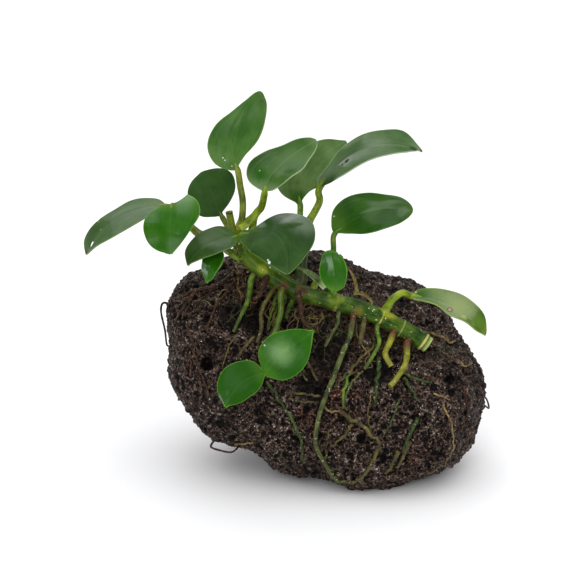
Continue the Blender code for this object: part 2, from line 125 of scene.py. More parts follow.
# %% A socket that can stand in a sum
def plug(tree, socket, value):
    """Gives a socket a number, a vector, a colour or another node's output."""
    if isinstance(value, Wire):
        tree.links.new(value.socket, socket)
    elif hasattr(socket.default_value, "__len__"):
        values = list(value) if hasattr(value, "__len__") else [value] * len(socket.default_value)
        socket.default_value = (values + [1.0] * 4)[:len(socket.default_value)]
    else:
        socket.default_value = value


class Wire:
    """One output of a node, used like a number."""

    def __init__(self, socket):
        self.socket = socket
        self.tree = socket.id_data

    def math(self, operation, *values, clamp=False):
        made = self.tree.nodes.new("ShaderNodeMath")
        made.operation = operation
        made.use_clamp = clamp
        for socket, value in zip(made.inputs, values):
            plug(self.tree, socket, value)
        return Wire(made.outputs[0])

    def __add__(self, other):
        return self.math("ADD", self, other)

    def __mul__(self, other):
        return self.math("MULTIPLY", self, other)

    def __sub__(self, other):
        return self.math("SUBTRACT", self, other)

    def __rsub__(self, other):
        return self.math("SUBTRACT", other, self)

    def __truediv__(self, other):
        return self.math("DIVIDE", self, other)

    def __pow__(self, other):
        return self.math("POWER", self, other)

    __radd__ = __add__
    __rmul__ = __mul__

    def size(self):
        return self.math("ABSOLUTE", self)

    def least(self, other):
        return self.math("MINIMUM", self, other)

    def most(self, other):
        return self.math("MAXIMUM", self, other)


def paint(red, green, blue):
    """A colour from 0 to 255, as the straight light values that the shader wants."""
    def straight(level):
        level = level / 255
        return level / 12.92 if level <= 0.04045 else ((level + 0.055) / 1.055) ** 2.4
    return (straight(red), straight(green), straight(blue))


# %% A finish being built
class Finish:
    """A material with its main shader, and short words for the nodes used most."""

    def __init__(self, name):
        self.material = bpy.data.materials.new(name)
        self.material.use_nodes = True
        self.tree = self.material.node_tree
        self.shader = self.tree.nodes["Principled BSDF"]

    def node(self, kind, settings=None, out=0, **values):
        made = self.tree.nodes.new(kind)
        for key, value in (settings or {}).items():
            setattr(made, key, value)
        for key, value in values.items():
            key = key.replace("_", " ")
            plug(self.tree, made.inputs[int(key[1:]) if key[1:].isdigit() else key], value)
        return Wire(made.outputs[out])

    def place(self):
        return self.node("ShaderNodeTexCoord", out="Object")

    def uv(self):
        """The piece's own map: along it, then across or round it."""
        both = self.node("ShaderNodeUVMap", {"uv_map": "UVMap"})
        made = self.tree.nodes.new("ShaderNodeSeparateXYZ")
        self.tree.links.new(both.socket, made.inputs[0])
        return Wire(made.outputs[0]), Wire(made.outputs[1])

    def attribute(self, name):
        return self.node("ShaderNodeAttribute", {"attribute_name": name}, out="Fac")

    def together(self, x, y=0.0, z=0.0):
        return self.node("ShaderNodeCombineXYZ", X=x, Y=y, Z=z)

    def stretched(self, vector, scale):
        return self.node("ShaderNodeVectorMath", {"operation": "MULTIPLY"}, _0=vector, _1=scale)

    def grain(self, vector, scale, detail=3.0, roughness=0.55, warp=0.0):
        return self.node("ShaderNodeTexNoise", out="Fac", Vector=vector, Scale=scale, Detail=detail,
                         Roughness=roughness, Distortion=warp)

    def bent(self, vector, scale, reach):
        """The same places, each pushed a little aside, so that a pattern read there is crooked."""
        push = self.node("ShaderNodeTexNoise", out="Color", Vector=vector, Scale=scale, Detail=1.0)
        push = self.node("ShaderNodeVectorMath", {"operation": "MULTIPLY_ADD"}, _0=push, _1=(reach,) * 3,
                         _2=(-reach / 2,) * 3)
        return self.node("ShaderNodeVectorMath", {"operation": "ADD"}, _0=vector, _1=push)

    def cells(self, vector, scale, feature="F1", out="Distance"):
        return self.node("ShaderNodeTexVoronoi", {"feature": feature}, out=out, Vector=vector, Scale=scale)

    def between(self, value, low, high):
        """0 below low, 1 above high, and a soft step between; low may be the larger."""
        made = self.tree.nodes.new("ShaderNodeMapRange")
        made.interpolation_type = "SMOOTHSTEP"
        plug(self.tree, made.inputs["Value"], value)
        made.inputs["From Min"].default_value = low
        made.inputs["From Max"].default_value = high
        return Wire(made.outputs[0])

    def number_mix(self, share, first, second):
        return self.node("ShaderNodeMix", {"data_type": "FLOAT"}, _0=share, _2=first, _3=second)

    def mix(self, share, first, second):
        return self.node("ShaderNodeMix", {"data_type": "RGBA"}, out=2, _0=share, _6=first, _7=second)

    def near(self, vector, middle, reach):
        """1 at a point of the object, falling to 0 at its reach."""
        away = self.node("ShaderNodeVectorMath", {"operation": "DISTANCE"}, out="Value", _0=vector,
                         _1=Vector(middle) * MM)
        return self.between(away, reach * MM, 0.0)

    def nearest(self, vector, places):
        """The strongest `near` of several places, each given with its reach."""
        strongest = self.near(vector, *places[0])
        for middle, reach in places[1:]:
            strongest = strongest.most(self.near(vector, middle, reach))
        return strongest

    def done(self, colour, roughness, height=None, depth=0.0, coat=None, **fixed):
        plug(self.tree, self.shader.inputs["Base Color"], colour)
        plug(self.tree, self.shader.inputs["Roughness"], roughness)
        if coat is not None:
            plug(self.tree, self.shader.inputs["Coat Weight"], coat)
        for key, value in fixed.items():
            plug(self.tree, self.shader.inputs[key.replace("_", " ")], value)
        if height is not None:
            bump = self.node("ShaderNodeBump", Height=height, Distance=depth, Strength=1.0)
            self.tree.links.new(bump.socket, self.shader.inputs["Normal"])
        return self.material


print("finish tools ready")

# %% [markdown]
# ## Floor
# The plant stands on a plain white board. It only carries the soft shadow under the stone, so one flat plane with
# an almost white matte finish does the job.

# %% Floor
def floor_finish():
    f = Finish("white board")
    cloud = f.grain(f.place(), 3.0, detail=2.0)
    colour = f.mix(cloud, paint(243, 243, 244), paint(246, 246, 247))
    return f.done(colour, 0.9, Specular_IOR_Level=0.1)


def nothing_selected():
    """Every operator works on what is selected, and the solids start selected."""
    if bpy.context.object and bpy.context.object.mode != "OBJECT":
        bpy.ops.object.mode_set(mode="OBJECT")
    bpy.ops.object.select_all(action="DESELECT")


nothing_selected()
bpy.ops.mesh.primitive_plane_add(size=9.0)
floor = bpy.context.object
floor.name = "floor"
floor.data.materials.append(floor_finish())
print("floor", floor.dimensions.x, "m wide")

# %% [markdown]
# ## Helpers for pieces
# A stem, a stalk and a root are all round things along a curved route. Each route is a row of points with the
# radius as a fourth number. A curve with a round bevel gives the tube, and turning it into a mesh keeps a map
# that runs along it and round it, which the finishes use.

# %% Routes
def smooth_route(points, step):
    """Points at an even step along a Catmull-Rom curve through the given ones, which carry their radius."""
    ends = [points[0], *points, points[-1]]
    dense = []
    for before, start, stop, after in zip(ends, ends[1:], ends[2:], ends[3:]):
        for i in range(12):
            t = i / 12
            dense.append(
                0.5 * (2 * start + (stop - before) * t + (2 * before - 5 * start + 4 * stop - after) * t * t
                       + (3 * start - before - 3 * stop + after) * t ** 3)
            )
    dense.append(points[-1].copy())
    length = [0.0]
    for a, b in zip(dense, dense[1:]):
        length.append(length[-1] + (b.to_3d() - a.to_3d()).length)
    count = max(2, round(length[-1] / step))
    route = []
    k = 0
    for i in range(count + 1):
        want = length[-1] * i / count
        while k < len(length) - 2 and length[k + 1] < want:
            k += 1
        share = (want - length[k]) / max(length[k + 1] - length[k], 1e-9)
        route.append(dense[k].lerp(dense[k + 1], min(1.0, share)))
    return route


def tapered(places, thick, thin):
    points = []
    for i, place in enumerate(places):
        points.append(Vector(place).to_4d())
        points[-1].w = thick + (thin - thick) * i / max(1, len(places) - 1)
    return points


def along(route, share):
    at = share * (len(route) - 1)
    k = min(int(at), len(route) - 2)
    place = route[k].lerp(route[k + 1], at - k)
    return place, (route[k + 1].to_3d() - route[k].to_3d()).normalized()


# %% From route to mesh
def tubes(name, routes, rounds=3):
    """One mesh of closed tubes along the routes. Lengths are millimetres, and w is the radius."""
    curve = bpy.data.curves.new(name, "CURVE")
    curve.dimensions = "3D"
    curve.bevel_depth = MM
    curve.bevel_resolution = rounds
    curve.use_fill_caps = True
    for route in routes:
        spline = curve.splines.new("POLY")
        spline.points.add(len(route) - 1)
        for point, place in zip(spline.points, route):
            point.co = (*(place.to_3d() * MM), 1)
            point.radius = place.w
    obj = bpy.data.objects.new(name, curve)
    scene.collection.objects.link(obj)
    nothing_selected()
    obj.select_set(True)
    bpy.context.view_layer.objects.active = obj
    bpy.ops.object.convert(target="MESH")
    bpy.ops.object.mode_set(mode="EDIT")
    bpy.ops.mesh.select_all(action="SELECT")
    bpy.ops.mesh.remove_doubles(threshold=0.002 * MM)
    bpy.ops.object.mode_set(mode="OBJECT")
    bpy.ops.object.shade_smooth_by_angle(angle=math.radians(50))
    return bpy.context.object


def finished(obj, finish, slot, *nodes):
    """Gives a piece its finish, lets it ride with the plant and hides the solids that it stands for."""
    obj.data.materials.clear()
    for material in finish if isinstance(finish, (list, tuple)) else [finish]:
        obj.data.materials.append(material)
    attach(obj, "root")
    if nodes:
        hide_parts(*nodes)
    return obj


def keep_value(obj, name, values):
    """Stores one number at each point of the mesh, for a finish to read."""
    layer = obj.data.attributes.new(name, "FLOAT", "POINT")
    layer.data.foreach_set("value", values)


def triangles(obj):
    return sum(len(face.vertices) - 2 for face in obj.data.polygons)


# %% [markdown]
# ## The lava stone
# Lava froths as it sets, so the stone is one rounded lump full of burst bubbles of all sizes. The solid already has
# the lump and its largest pits, so the piece starts as a copy of it, remeshed into fine even squares. Bubbles are
# pressed into that mesh by the place of each point, so the rim of the stone is rough as well. Bubbles too small for
# the mesh are left to the finish.

# %% A fine copy of the stone
STONE_VOXEL = 0.67
nothing_selected()
stone = bpy.data.objects.new("stone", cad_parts["lava_stone"].data.copy())
scene.collection.objects.link(stone)
stone.select_set(True)
bpy.context.view_layer.objects.active = stone
bpy.ops.object.mode_set(mode="EDIT")
bpy.ops.mesh.select_all(action="SELECT")
bpy.ops.mesh.remove_doubles(threshold=0.01 * MM)
bpy.ops.object.mode_set(mode="OBJECT")
bpy.ops.object.modifier_add(type="REMESH")
stone.modifiers["Remesh"].mode = "VOXEL"
stone.modifiers["Remesh"].voxel_size = STONE_VOXEL * MM
bpy.ops.object.modifier_apply(modifier="Remesh")
bpy.ops.object.modifier_add(type="SMOOTH")
stone.modifiers["Smooth"].factor = 0.6
stone.modifiers["Smooth"].iterations = 5
bpy.ops.object.modifier_apply(modifier="Smooth")
print("stone points:", len(stone.data.vertices), "triangles:", triangles(stone))

# %% Bubbles and crust
BUBBLES = [(4.2, 0.34, 0.6), (2.4, 0.44, 0.6)]  # spacing, radius as a share of it, depth as a share of the radius
CRUST = [(7.0, 0.6), (3.0, 0.5), (1.6, 0.8), (1.0, 0.6)]  # size of the lumps and how high they stand
PITS = [(-55, 35, 1.1), (-53.5, 30, 1.5), (-52, 27, 1.2), (-49, 21, 1.2), (-43, 26, 1.9), (-28, 27.5, 1.8),
        (-38.5, 20, 1.6), (8.5, 24.5, 2.0), (4.5, 17.5, 1.6), (15, 26.5, 1.2), (16.5, 16.5, 1.5), (41, 42.5, 1.8),
        (41.5, 39, 1.6), (47, 30.5, 1.3), (-44.5, 37, 1.2), (-47.2, 50.3, 2.6), (-13.5, 22, 1.3), (-19, 15, 1.5),
        (31.5, 24, 1.3), (37.5, 17, 1.5), (43, 21.5, 1.4), (-45, 57.5, 1.5), (17.5, 10, 1.3)]
# The round holes that are easy to make out: x and z on the front of the stone, and radius.


def bubble_depth(place, spacing, share, depth):
    """How far a point sits inside the burst bubble of its own cell of space."""
    away, centres = noise.voronoi(place / spacing)
    radius = share * (0.45 + 0.75 * abs(noise.cell(centres[0] * 7.3)))
    if away[0] >= radius:
        return 0.0
    return depth * spacing * radius * math.sqrt(1 - (away[0] / radius) ** 2)


def pit_depth(place, pits):
    depth = 0.0
    for middle, radius in pits:
        away = (place - middle).length / radius
        if away < 1:
            depth = max(depth, 0.8 * radius * math.sqrt(1 - away * away))
    return depth


def onto_stone(tree, x, z, start_y=-90.0):
    """The point of the stone's front that is straight behind the given place."""
    hit, _, _, _ = tree.ray_cast(Vector((x, start_y, z)) * MM, Vector((0, 1, 0)))
    return None if hit is None else hit / MM


def rough_stone(obj):
    mesh = obj.data
    smooth_tree = BVHTree.FromObject(obj, bpy.context.evaluated_depsgraph_get())
    pits = [(onto_stone(smooth_tree, x, z), radius) for x, z, radius in PITS]
    normals = [v.normal.copy() for v in mesh.vertices]
    hollow = []
    for vertex, normal in zip(mesh.vertices, normals):
        place = vertex.co / MM
        depth = max(pit_depth(place, pits), sum(bubble_depth(place, *bubble) for bubble in BUBBLES))
        crust = sum(height * noise.noise(place / size) for size, height in CRUST)
        hollow.append(depth - 0.35 * crust)
        if place.z >= 0.3:
            vertex.co += normal * (crust - depth) * MM
            vertex.co.z = max(vertex.co.z, 0.0)
    # The depth of each point below the crust is kept, so that the finish can paint shade into bubbles and pits.
    keep_value(obj, "hollow", hollow)
    mesh.shade_smooth()
    mesh.update()


rough_stone(stone)
stone_tree = BVHTree.FromObject(stone, bpy.context.evaluated_depsgraph_get())
print("stone", [round(v / MM, 1) for v in stone.dimensions])

# %% [markdown]
# ## Finish of wet lava
# Wet lava is almost black, with brown and rust in patches. Between its bubbles stand thin crooked walls whose edges
# are paler brown, partly their own tone and partly painted highlight; the palest flecks, and a tiny white glint on
# each grain, are painted highlights. Bubbles, pits and a few places under the stem are darkened with painted shade.
# The finish bends the place a little before it asks for cells, so that no bubble is a clean circle, and uses the same
# cells for colour and for bump.

# %% Lava finish
RUST_PLACES = [((2, -34, 42), 16), ((-8, -34, 30), 12), ((-52, -24, 45), 9), ((30, -33, 18), 12), ((20, 20, 50), 22),
               ((-30, 25, 40), 20)]
FLANK = ((52, -8, 34), 34)
# Painted shade: places on the front of the stone, under the stem, that are painted almost black.
PAINTED_SHADE_PLACES = [((-10, -25, 61), 11), ((-3, -28, 53), 11), ((14, -28, 47), 8), ((-9, -31, 42), 9), ((2, -27, 58), 8),
          ((-30, -22, 64), 9), ((-38, -22, 66), 8)]


def lava_finish():
    f = Finish("wet lava")
    place = f.place()
    bent = f.bent(place, 600.0, 0.001)
    broad = f.grain(place, 70.0, detail=5.0, roughness=0.65)
    grit = f.grain(place, 1350.0, detail=3.0, roughness=0.75)
    lumps = f.grain(bent, 560.0, detail=4.0, roughness=0.75)
    walls = f.between(f.cells(bent, 700.0), 0.2, 0.6)
    small = f.between(f.cells(bent, 1500.0), 0.2, 0.6)
    stripe = f.between(f.grain(f.stretched(bent, (1.0, 1.0, 0.3)), 1100.0, detail=3.0), 0.42, 0.58)
    walls = f.number_mix(f.near(place, *FLANK) * 0.8, walls, stripe)
    hollow = f.between(f.attribute("hollow"), 0.1, 0.65)
    rust = f.nearest(place, RUST_PLACES) * f.between(f.grain(place, 210.0, detail=4.0, roughness=0.7), 0.42, 0.6)
    level = lumps * 0.5 + grit * 0.5 + (walls - 0.6) * 0.11 + (small - 0.6) * 0.06 + (broad - 0.5) * 0.2
    colour = f.mix(f.between(level, 0.47, 0.55), paint(5, 3, 2), f.mix(rust * 0.7, paint(72, 55, 46), paint(98, 50, 34)))
    # Pale brown rims of the walls: partly the stone's own paler tone and rust, partly painted highlight where edges
    # catch the light.
    colour = f.mix(f.between(level, 0.57, 0.63), colour, f.mix(rust, paint(122, 106, 95), paint(146, 98, 74)))
    # Painted highlight: the palest flecks, almost white.
    colour = f.mix(f.between(level, 0.65, 0.7), colour, paint(206, 196, 186))
    # Painted glints: a tiny white dot on grains of the wet stone, where it would mirror a lamp.
    painted_glint = f.between(f.cells(bent, 500.0), 0.12, 0.06).most(f.between(f.cells(bent, 900.0), 0.1, 0.05) * 0.8)
    colour = f.mix(painted_glint * f.between(broad, 0.35, 0.55), colour, paint(240, 236, 230))
    # Painted shade: bubbles and pits are darkened by their depth, almost to black.
    colour = f.mix(hollow * 0.95, colour, paint(5, 3, 2))
    # Painted shade: near-black patches under the stem, broken up by the lumps.
    painted_shade = f.between(f.nearest(place, PAINTED_SHADE_PLACES) + (lumps - 0.5) * 0.8, 0.05, 0.5)
    colour = f.mix(painted_shade * 0.85, colour, paint(9, 8, 5))
    height = walls * 0.6 + small * 0.4 + grit * 0.5 + lumps * 0.9
    return f.done(colour, 0.3 + grit * 0.4, height, 0.9 * MM, Specular_IOR_Level=0.14)


finished(stone, lava_finish(), "lava", "lava_stone")
print("lava finish", len(stone.data.materials))

# %% [markdown]
# ## The creeping stem
# The stem, or rhizome, is a fat green rod with a pale ring wherever a leaf once stood, and a cut end at the right.
# Its route repeats the solid's own points. The rings are raised in the radius of the route, and the distance to
# the nearest ring is kept on the mesh so that the finish can paint it.

# %% Routes of the stems
RHIZOME = [
    (33.2, -20.4, 53.9, 3.1), (27.4, -19.6, 57.8, 3.2), (21.1, -19.2, 61.2, 3.3), (10.0, -20.3, 67.1, 3.3),
    (-2.8, -20.3, 70.9, 3.1), (-13.6, -18.4, 73.3, 3.2), (-19.1, -16.6, 76.2, 3.3), (-27.5, -13.0, 81.0, 3.3),
    (-34.0, -10.6, 87.0, 3.3), (-36.6, -10.2, 95.0, 2.8),
]
BRANCH = (0.62, (0.1, 0.75, 0.6), [(-13.2, -8.5, 82.0), (-11.8, -4.0, 89.0), (-10.6, -3.0, 95.0)], 2.3)
RUNNER = (0.66, (0.1, -0.9, -0.5), [(-20.6, -23.8, 68.0), (-22.6, -27.6, 62.0), (-25.2, -31.6, 56.5),
                                    (-26.2, -34.6, 51.8)], 1.2)
RINGS = [(31.4, 1.0, 0.45), (23.3, 0.7, 0.4), (15.4, 0.9, 0.35), (7.0, 0.3, 1.0), (-0.4, 0.5, 1.3), (-8.0, 0.2, 0.6),
         (-15.5, 0.25, 0.6), (-23.0, 0.3, 0.7), (-29.5, 0.2, 0.6)]  # x, how plain the ring is, half its width
RING_RISE = 0.4
STEM_STEP = 0.5


def leaving(route, share, heading, sunk=0.45):
    """A start inside the stem, so that no gap shows, and the way the stalk or root leaves."""
    place, direction = along(route, share)
    heading = Vector(heading)
    if share < 1.0:
        heading = (heading - heading.dot(direction) * direction).normalized()
        return place.to_3d() + heading * place.w * sunk, heading, place.w
    return place.to_3d() - direction * 1.5 + heading, direction, 1.5


def side_route(stem, share, heading, passes, thick, thin, step, ends=()):
    start, way, inside = leaving(stem, share, heading)
    skin = start + way * (inside * 0.55 + 1.8)
    places = [start, skin, *passes, *ends]
    return smooth_route(tapered(places, thick, thin), step)


def ring_swell(place):
    return max(plain * math.exp(-((place.x - x) / width) ** 2) for x, plain, width in RINGS)


base_rhizome = smooth_route([Vector(p) for p in RHIZOME], STEM_STEP)
stems = {"rhizome": [p.copy() for p in base_rhizome]}
share, heading, passes, radius = BRANCH
stems["branch"] = side_route(stems["rhizome"], share, heading, passes, radius, radius, STEM_STEP)
share, heading, passes, radius = RUNNER
stems["runner"] = side_route(stems["rhizome"], share, heading, passes, radius, radius * 0.75, STEM_STEP)
for point in stems["rhizome"]:
    point.w += RING_RISE * ring_swell(point) + 0.28 * noise.noise(point.to_3d() / 3.0)
print("rhizome points:", len(stems["rhizome"]))

# %% [markdown]
# ## Finish of green stems
# A stem is smooth, wet and slightly see-through: dark green above, olive to brown below, pale where a ring or a
# young stalk is. One recipe makes them all, with its two greens, how far the base is brown, and how much gloss. The
# creeping stem has places of its own on top: yellow where a stalk pulls at it, brown scars, and the cut end.

# %% Stem finish
RHIZOME_PATCHES = [((-38.0, -12.0, 96.0), 13.0, (92, 116, 16), 0.8), ((-29.0, -15.0, 82.0), 13.0, (84, 112, 12), 0.8),
                   ((18.6, -20.5, 67.5), 6.0, (146, 154, 22), 0.85), ((-0.6, -23.0, 73.0), 5.0, (104, 126, 10), 0.7),
                   ((7.0, -23.5, 68.0), 3.5, (100, 96, 30), 0.8), ((-27.5, -17.5, 82.0), 4.0, (150, 162, 26), 0.8),
                   ((-19.5, -19.5, 76.0), 3.5, (86, 40, 16), 0.8),
                   ((-13.0, -21.5, 75.5), 4.0, (74, 42, 22), 0.8), ((-27.0, -14.0, 76.5), 5.0, (80, 50, 28), 0.9),
                   ((35.4, -20.8, 52.4), 4.6, (176, 190, 104), 0.95)]  # place, reach, colour, strength


def stem_finish(name, shade, light, foot, foot_reach=0.12, rings=False, gloss=0.3, coat=0.4, tip=None):
    f = Finish(name)
    place = f.place()
    u, v = f.uv()
    streak = f.grain(f.together(u * 4.0, v * 9.0), 3.0, detail=4.0)
    blotch = f.grain(place, 260.0, detail=3.0)
    dots = f.grain(place, 1300.0, detail=2.0)
    colour = f.mix(f.between(streak * 0.5 + blotch * 0.5, 0.38, 0.62), shade, light)
    colour = f.mix(f.between(dots, 0.62, 0.76) * (0.12 if rings else 0.3), colour, paint(170, 186, 100))
    colour = f.mix(f.between(u, foot_reach, 0.0) * (0.5 + blotch * 0.6), colour, foot)
    if tip:
        colour = f.mix(f.between(u + blotch * 0.06, 0.9, 0.97), colour, tip)
    height = streak * 0.5 + blotch * 0.5 + dots * 0.2
    if rings:
        for middle, reach, tone, strength in RHIZOME_PATCHES:
            patch = f.between(f.near(place, middle, reach) + (blotch - 0.5) * 0.8, 0.1, 0.7)
            colour = f.mix(patch * strength, colour, paint(*tone))
        under = f.attribute("under")
        colour = f.mix(f.between(under + blotch * 0.6, 0.75, 1.15) * 0.8, colour, paint(84, 58, 36))
        scar = f.attribute("scar")
        colour = f.mix(f.between(scar + (blotch - 0.5) * 0.5, 0.4, 0.8) * 0.8, colour, paint(196, 190, 110))
        # Painted glints: small white dots where the wet stem would mirror a lamp.
        painted_glint = f.between(f.grain(place, 1000.0, detail=3.0), 0.675, 0.705)
        colour = f.mix(painted_glint, colour, paint(226, 232, 200))
    return f.done(colour, gloss + blotch * 0.15, height, 0.25 * MM, coat=coat * blotch * 2.0, Coat_Roughness=0.08,
                  Specular_IOR_Level=0.15)


def nearest_values(obj, route, values):
    """For each point of a tube, the value of the nearest point of its route."""
    tree = KDTree(len(route))
    for i, place in enumerate(route):
        tree.insert(place.to_3d() * MM, i)
    tree.balance()
    return [values[tree.find(v.co)[1]] for v in obj.data.vertices]


RHIZOME_GREEN = stem_finish("rhizome green", paint(20, 52, 0), paint(66, 94, 2), paint(186, 200, 116), 0.022,
                            rings=True, gloss=0.3, coat=0.1)
rhizome = tubes("rhizome_skin", [stems["rhizome"]], rounds=10)
keep_value(rhizome, "scar", nearest_values(rhizome, stems["rhizome"], [ring_swell(p) for p in stems["rhizome"]]))
keep_value(rhizome, "under", [max(0.0, -v.normal.z) for v in rhizome.data.vertices])
finished(rhizome, RHIZOME_GREEN, "stem_green", "rhizome")

BRANCH_GREEN = stem_finish("branch green", paint(22, 34, 8), paint(62, 80, 24), paint(60, 44, 22), 0.2, coat=0.1)
branch = tubes("branch_skin", [stems["branch"]], rounds=8)
finished(branch, BRANCH_GREEN, "stem_green", "rhizome_branch")
runner = tubes("runner_skin", [stems["runner"]], rounds=6)
finished(runner, stem_finish("runner green", paint(52, 76, 10), paint(92, 114, 26), paint(84, 72, 26), 0.2),
         "stem_green", "runner_stem")
print("stems:", triangles(rhizome), triangles(branch), triangles(runner))

# %% [markdown]
# ## Leaf blades
# A blade is a thin tough sheet with a sunken midrib, fine veins that run from it towards the tip, and a thin pale
# rim. Each starts as a flat grid, which brings its own map: along the blade, then across. Every point of the grid
# is then moved to its place on the blade by a short formula, so that the outline is even and the rows are closest
# where the outline turns fastest. A thickness modifier makes it a closed sheet.

# %% The blades, in the numbers of the solids
LEAVES = {
    "top": dict(base=(-36.3, -12.0, 117.9), tip=(-27.6, -6.0, 144.7), face=(-0.25, -0.9, 0.3), turn=0.35, arch=1.5,
                sweep=4.0, left=(0.5, 3.5, 7.0, 9.0, 9.0, 7.0, 4.0), right=(3.5, 7.5, 9.5, 8.0, 4.5, 2.5, 1.5),
                cup=0.1, lobes=(0.8, 0.0)),
    "back_left": dict(base=(-42.6, -4.0, 98.7), tip=(-49.4, 4.0, 113.1), face=(-0.1, -0.93, 0.35), arch=1.5,
                      sweep=0.3, left=(1.0, 5.0, 8.5, 10.0, 10.0, 8.0, 4.5),
                      right=(2.5, 6.5, 8.0, 8.5, 7.5, 5.0, 2.0), cup=0.08, lobes=(0.0, 0.3)),
    "front_left": dict(base=(-59.1, -24.7, 108.4), tip=(-59.1, -32.7, 92.4), face=(-0.2, -0.85, 0.5), arch=3.5,
                       sweep=0.7, left=(4.5, 8.0, 9.5, 10.0, 9.5, 8.0, 5.0), right=(5.5, 9.5, 10.5, 8.0, 5.5, 3.0, 1.0),
                       cup=-0.05, lobes=(0.5, 5.5)),
    "far_left": dict(base=(-62.1, -7.4, 103.0), tip=(-91.2, -15.4, 87.1), face=(-0.3, -0.2, 0.93), arch=6.0,
                     sweep=0.5, left=(6.5, 8.0, 8.5, 7.5, 8.0, 9.0, 7.5),
                     right=(1.5, 7.0, 10.5, 12.0, 11.0, 6.5, 2.5), cup=0.04, lobes=(0.5, 0.5)),
    "middle": dict(base=(-26.4, -16.0, 110.9), tip=(-7.9, -8.0, 127.5), face=(-0.35, -0.75, 0.55), turn=0.25,
                   arch=1.0, sweep=2.6, left=(3.0, 5.0, 6.5, 7.5, 8.0, 5.5, 3.0),
                   right=(0.8, 7.0, 9.5, 8.0, 5.5, 4.5, 2.5), cup=0.12, lobes=(0.5, 1.0)),
    "back_right": dict(base=(-13.6, 3.0, 101.0), tip=(3.7, 15.0, 121.9), face=(-0.3, -0.85, 0.45), turn=0.35,
                       arch=2.0, sweep=5.0, left=(1.0, 3.5, 7.5, 8.5, 8.5, 6.5, 3.5),
                       right=(2.0, 7.0, 10.5, 9.0, 6.5, 4.5, 1.5), cup=0.08, lobes=(0.0, 0.0)),
    "upper_right": dict(base=(-6.6, 0.0, 107.8), tip=(30.6, -4.0, 122.5), face=(-0.3, -0.35, 0.88), arch=8.5,
                        sweep=1.5, left=(1.5, 6.0, 9.0, 9.0, 7.5, 4.0, 0.5),
                        right=(4.0, 4.0, 7.0, 8.5, 8.5, 8.5, 3.0), cup=0.06, lobes=(0.5, 0.5)),
    "mid_right": dict(base=(-0.9, -10.0, 93.1), tip=(26.8, -14.0, 102.9), face=(-0.2, -0.85, 0.45), arch=1.5,
                      sweep=3.6, left=(0.5, 3.5, 6.5, 7.5, 7.0, 5.5, 3.0),
                      right=(3.0, 7.0, 8.5, 7.5, 5.5, 4.5, 2.5), cup=0.08, lobes=(0.5, 0.5)),
    "front_centre": dict(base=(-35.2, -19.5, 95.1), tip=(-18.3, -37.0, 86.4), face=(0.1, -0.5, 0.86), arch=6.0,
                         sweep=6.0, left=(4.0, 8.5, 12.0, 12.5, 12.0, 8.5, 3.5),
                         right=(2.5, 2.0, 11.0, 15.0, 12.0, 6.5, 2.5), cup=-0.02, lobes=(0.5, 0.5)),
    "front_low_left": dict(base=(-36.3, -18.6, 94.5), tip=(-53.4, -28.0, 86.7), face=(-0.15, -0.45, 0.88),
                           arch=3.0, sweep=-1.0, left=(5.0, 6.5, 7.0, 7.5, 6.5, 5.0, 2.0),
                           right=(1.5, 5.0, 6.5, 6.0, 4.5, 2.5, 0.5), cup=0.0, lobes=(0.5, 0.5)),
    "young_upright": dict(base=(-1.5, -24.6, 75.4), tip=(-3.0, -20.4, 90.0), face=(-0.15, -0.95, 0.25), arch=1.0,
                          sweep=-0.7, left=(1.0, 3.5, 4.5, 5.0, 4.5, 3.0, 1.0),
                          right=(1.0, 3.0, 4.5, 5.0, 4.5, 3.5, 2.5), cup=0.15, lobes=(0.0, 0.0)),
    "young_hanging": dict(base=(-42.9, -21.0, 91.3), tip=(-46.9, -28.0, 80.2), face=(-0.3, -0.85, 0.4), arch=1.5,
                          sweep=0.0, left=(1.0, 3.0, 4.0, 3.5, 3.0, 1.5, 0.5),
                          right=(1.0, 3.0, 4.0, 4.0, 3.0, 2.0, 0.5), cup=0.15, lobes=(0.0, 0.0)),
    "low_right": dict(base=(27.6, -16.0, 71.5), tip=(53.9, -22.0, 58.4), face=(0.35, -0.6, 0.72), arch=4.2,
                      sweep=0.5, left=(2.0, 2.0, 2.0, 4.0, 3.0, 2.5, 1.0),
                      right=(3.0, 4.5, 6.0, 7.0, 6.5, 5.5, 2.5), cup=0.08, lobes=(0.0, 0.0)),
    "runner_right": dict(base=(-26.5, -38.0, 49.3), tip=(-9.1, -42.0, 67.0), face=(-0.1, -0.9, 0.4), arch=1.5,
                         sweep=0.6, left=(2.0, 6.0, 8.0, 8.5, 7.0, 4.0, 1.0),
                         right=(1.5, 6.0, 8.0, 8.0, 6.0, 3.5, 1.0), cup=-0.06, lobes=(0.5, 0.5)),
    "runner_left": dict(base=(-26.0, -38.0, 49.9), tip=(-40.3, -42.0, 38.3), face=(-0.1, -0.92, 0.35), arch=1.5,
                        sweep=-2.5, left=(0.8, 5.0, 7.0, 8.0, 7.0, 4.5, 1.0),
                        right=(1.0, 4.0, 5.5, 5.5, 5.0, 3.5, 1.0), cup=-0.06, lobes=(0.5, 0.5)),
}
STATIONS = 8  # steps along a blade, closest together at its two ends; each of the seven between has its half width
BASE_HALF = 1.0
TIP_HALF = 0.3
LOBE_REACH = 0.45


def half_width(leaf, u, side):
    """Half width of the blade at share u of its length, to the right of the midrib where side is positive."""
    sizes = (BASE_HALF, *leaf["right" if side > 0 else "left"], TIP_HALF)
    at = math.acos(1 - 2 * u) / math.pi * STATIONS
    k = min(int(at), STATIONS - 1)
    t = at - k
    before, start, stop, after = sizes[max(k - 1, 0)], sizes[k], sizes[k + 1], sizes[min(k + 2, STATIONS)]
    return 0.5 * (2 * start + (stop - before) * t + (2 * before - 5 * start + 4 * stop - after) * t * t
                  + (3 * start - before - 3 * stop + after) * t ** 3)


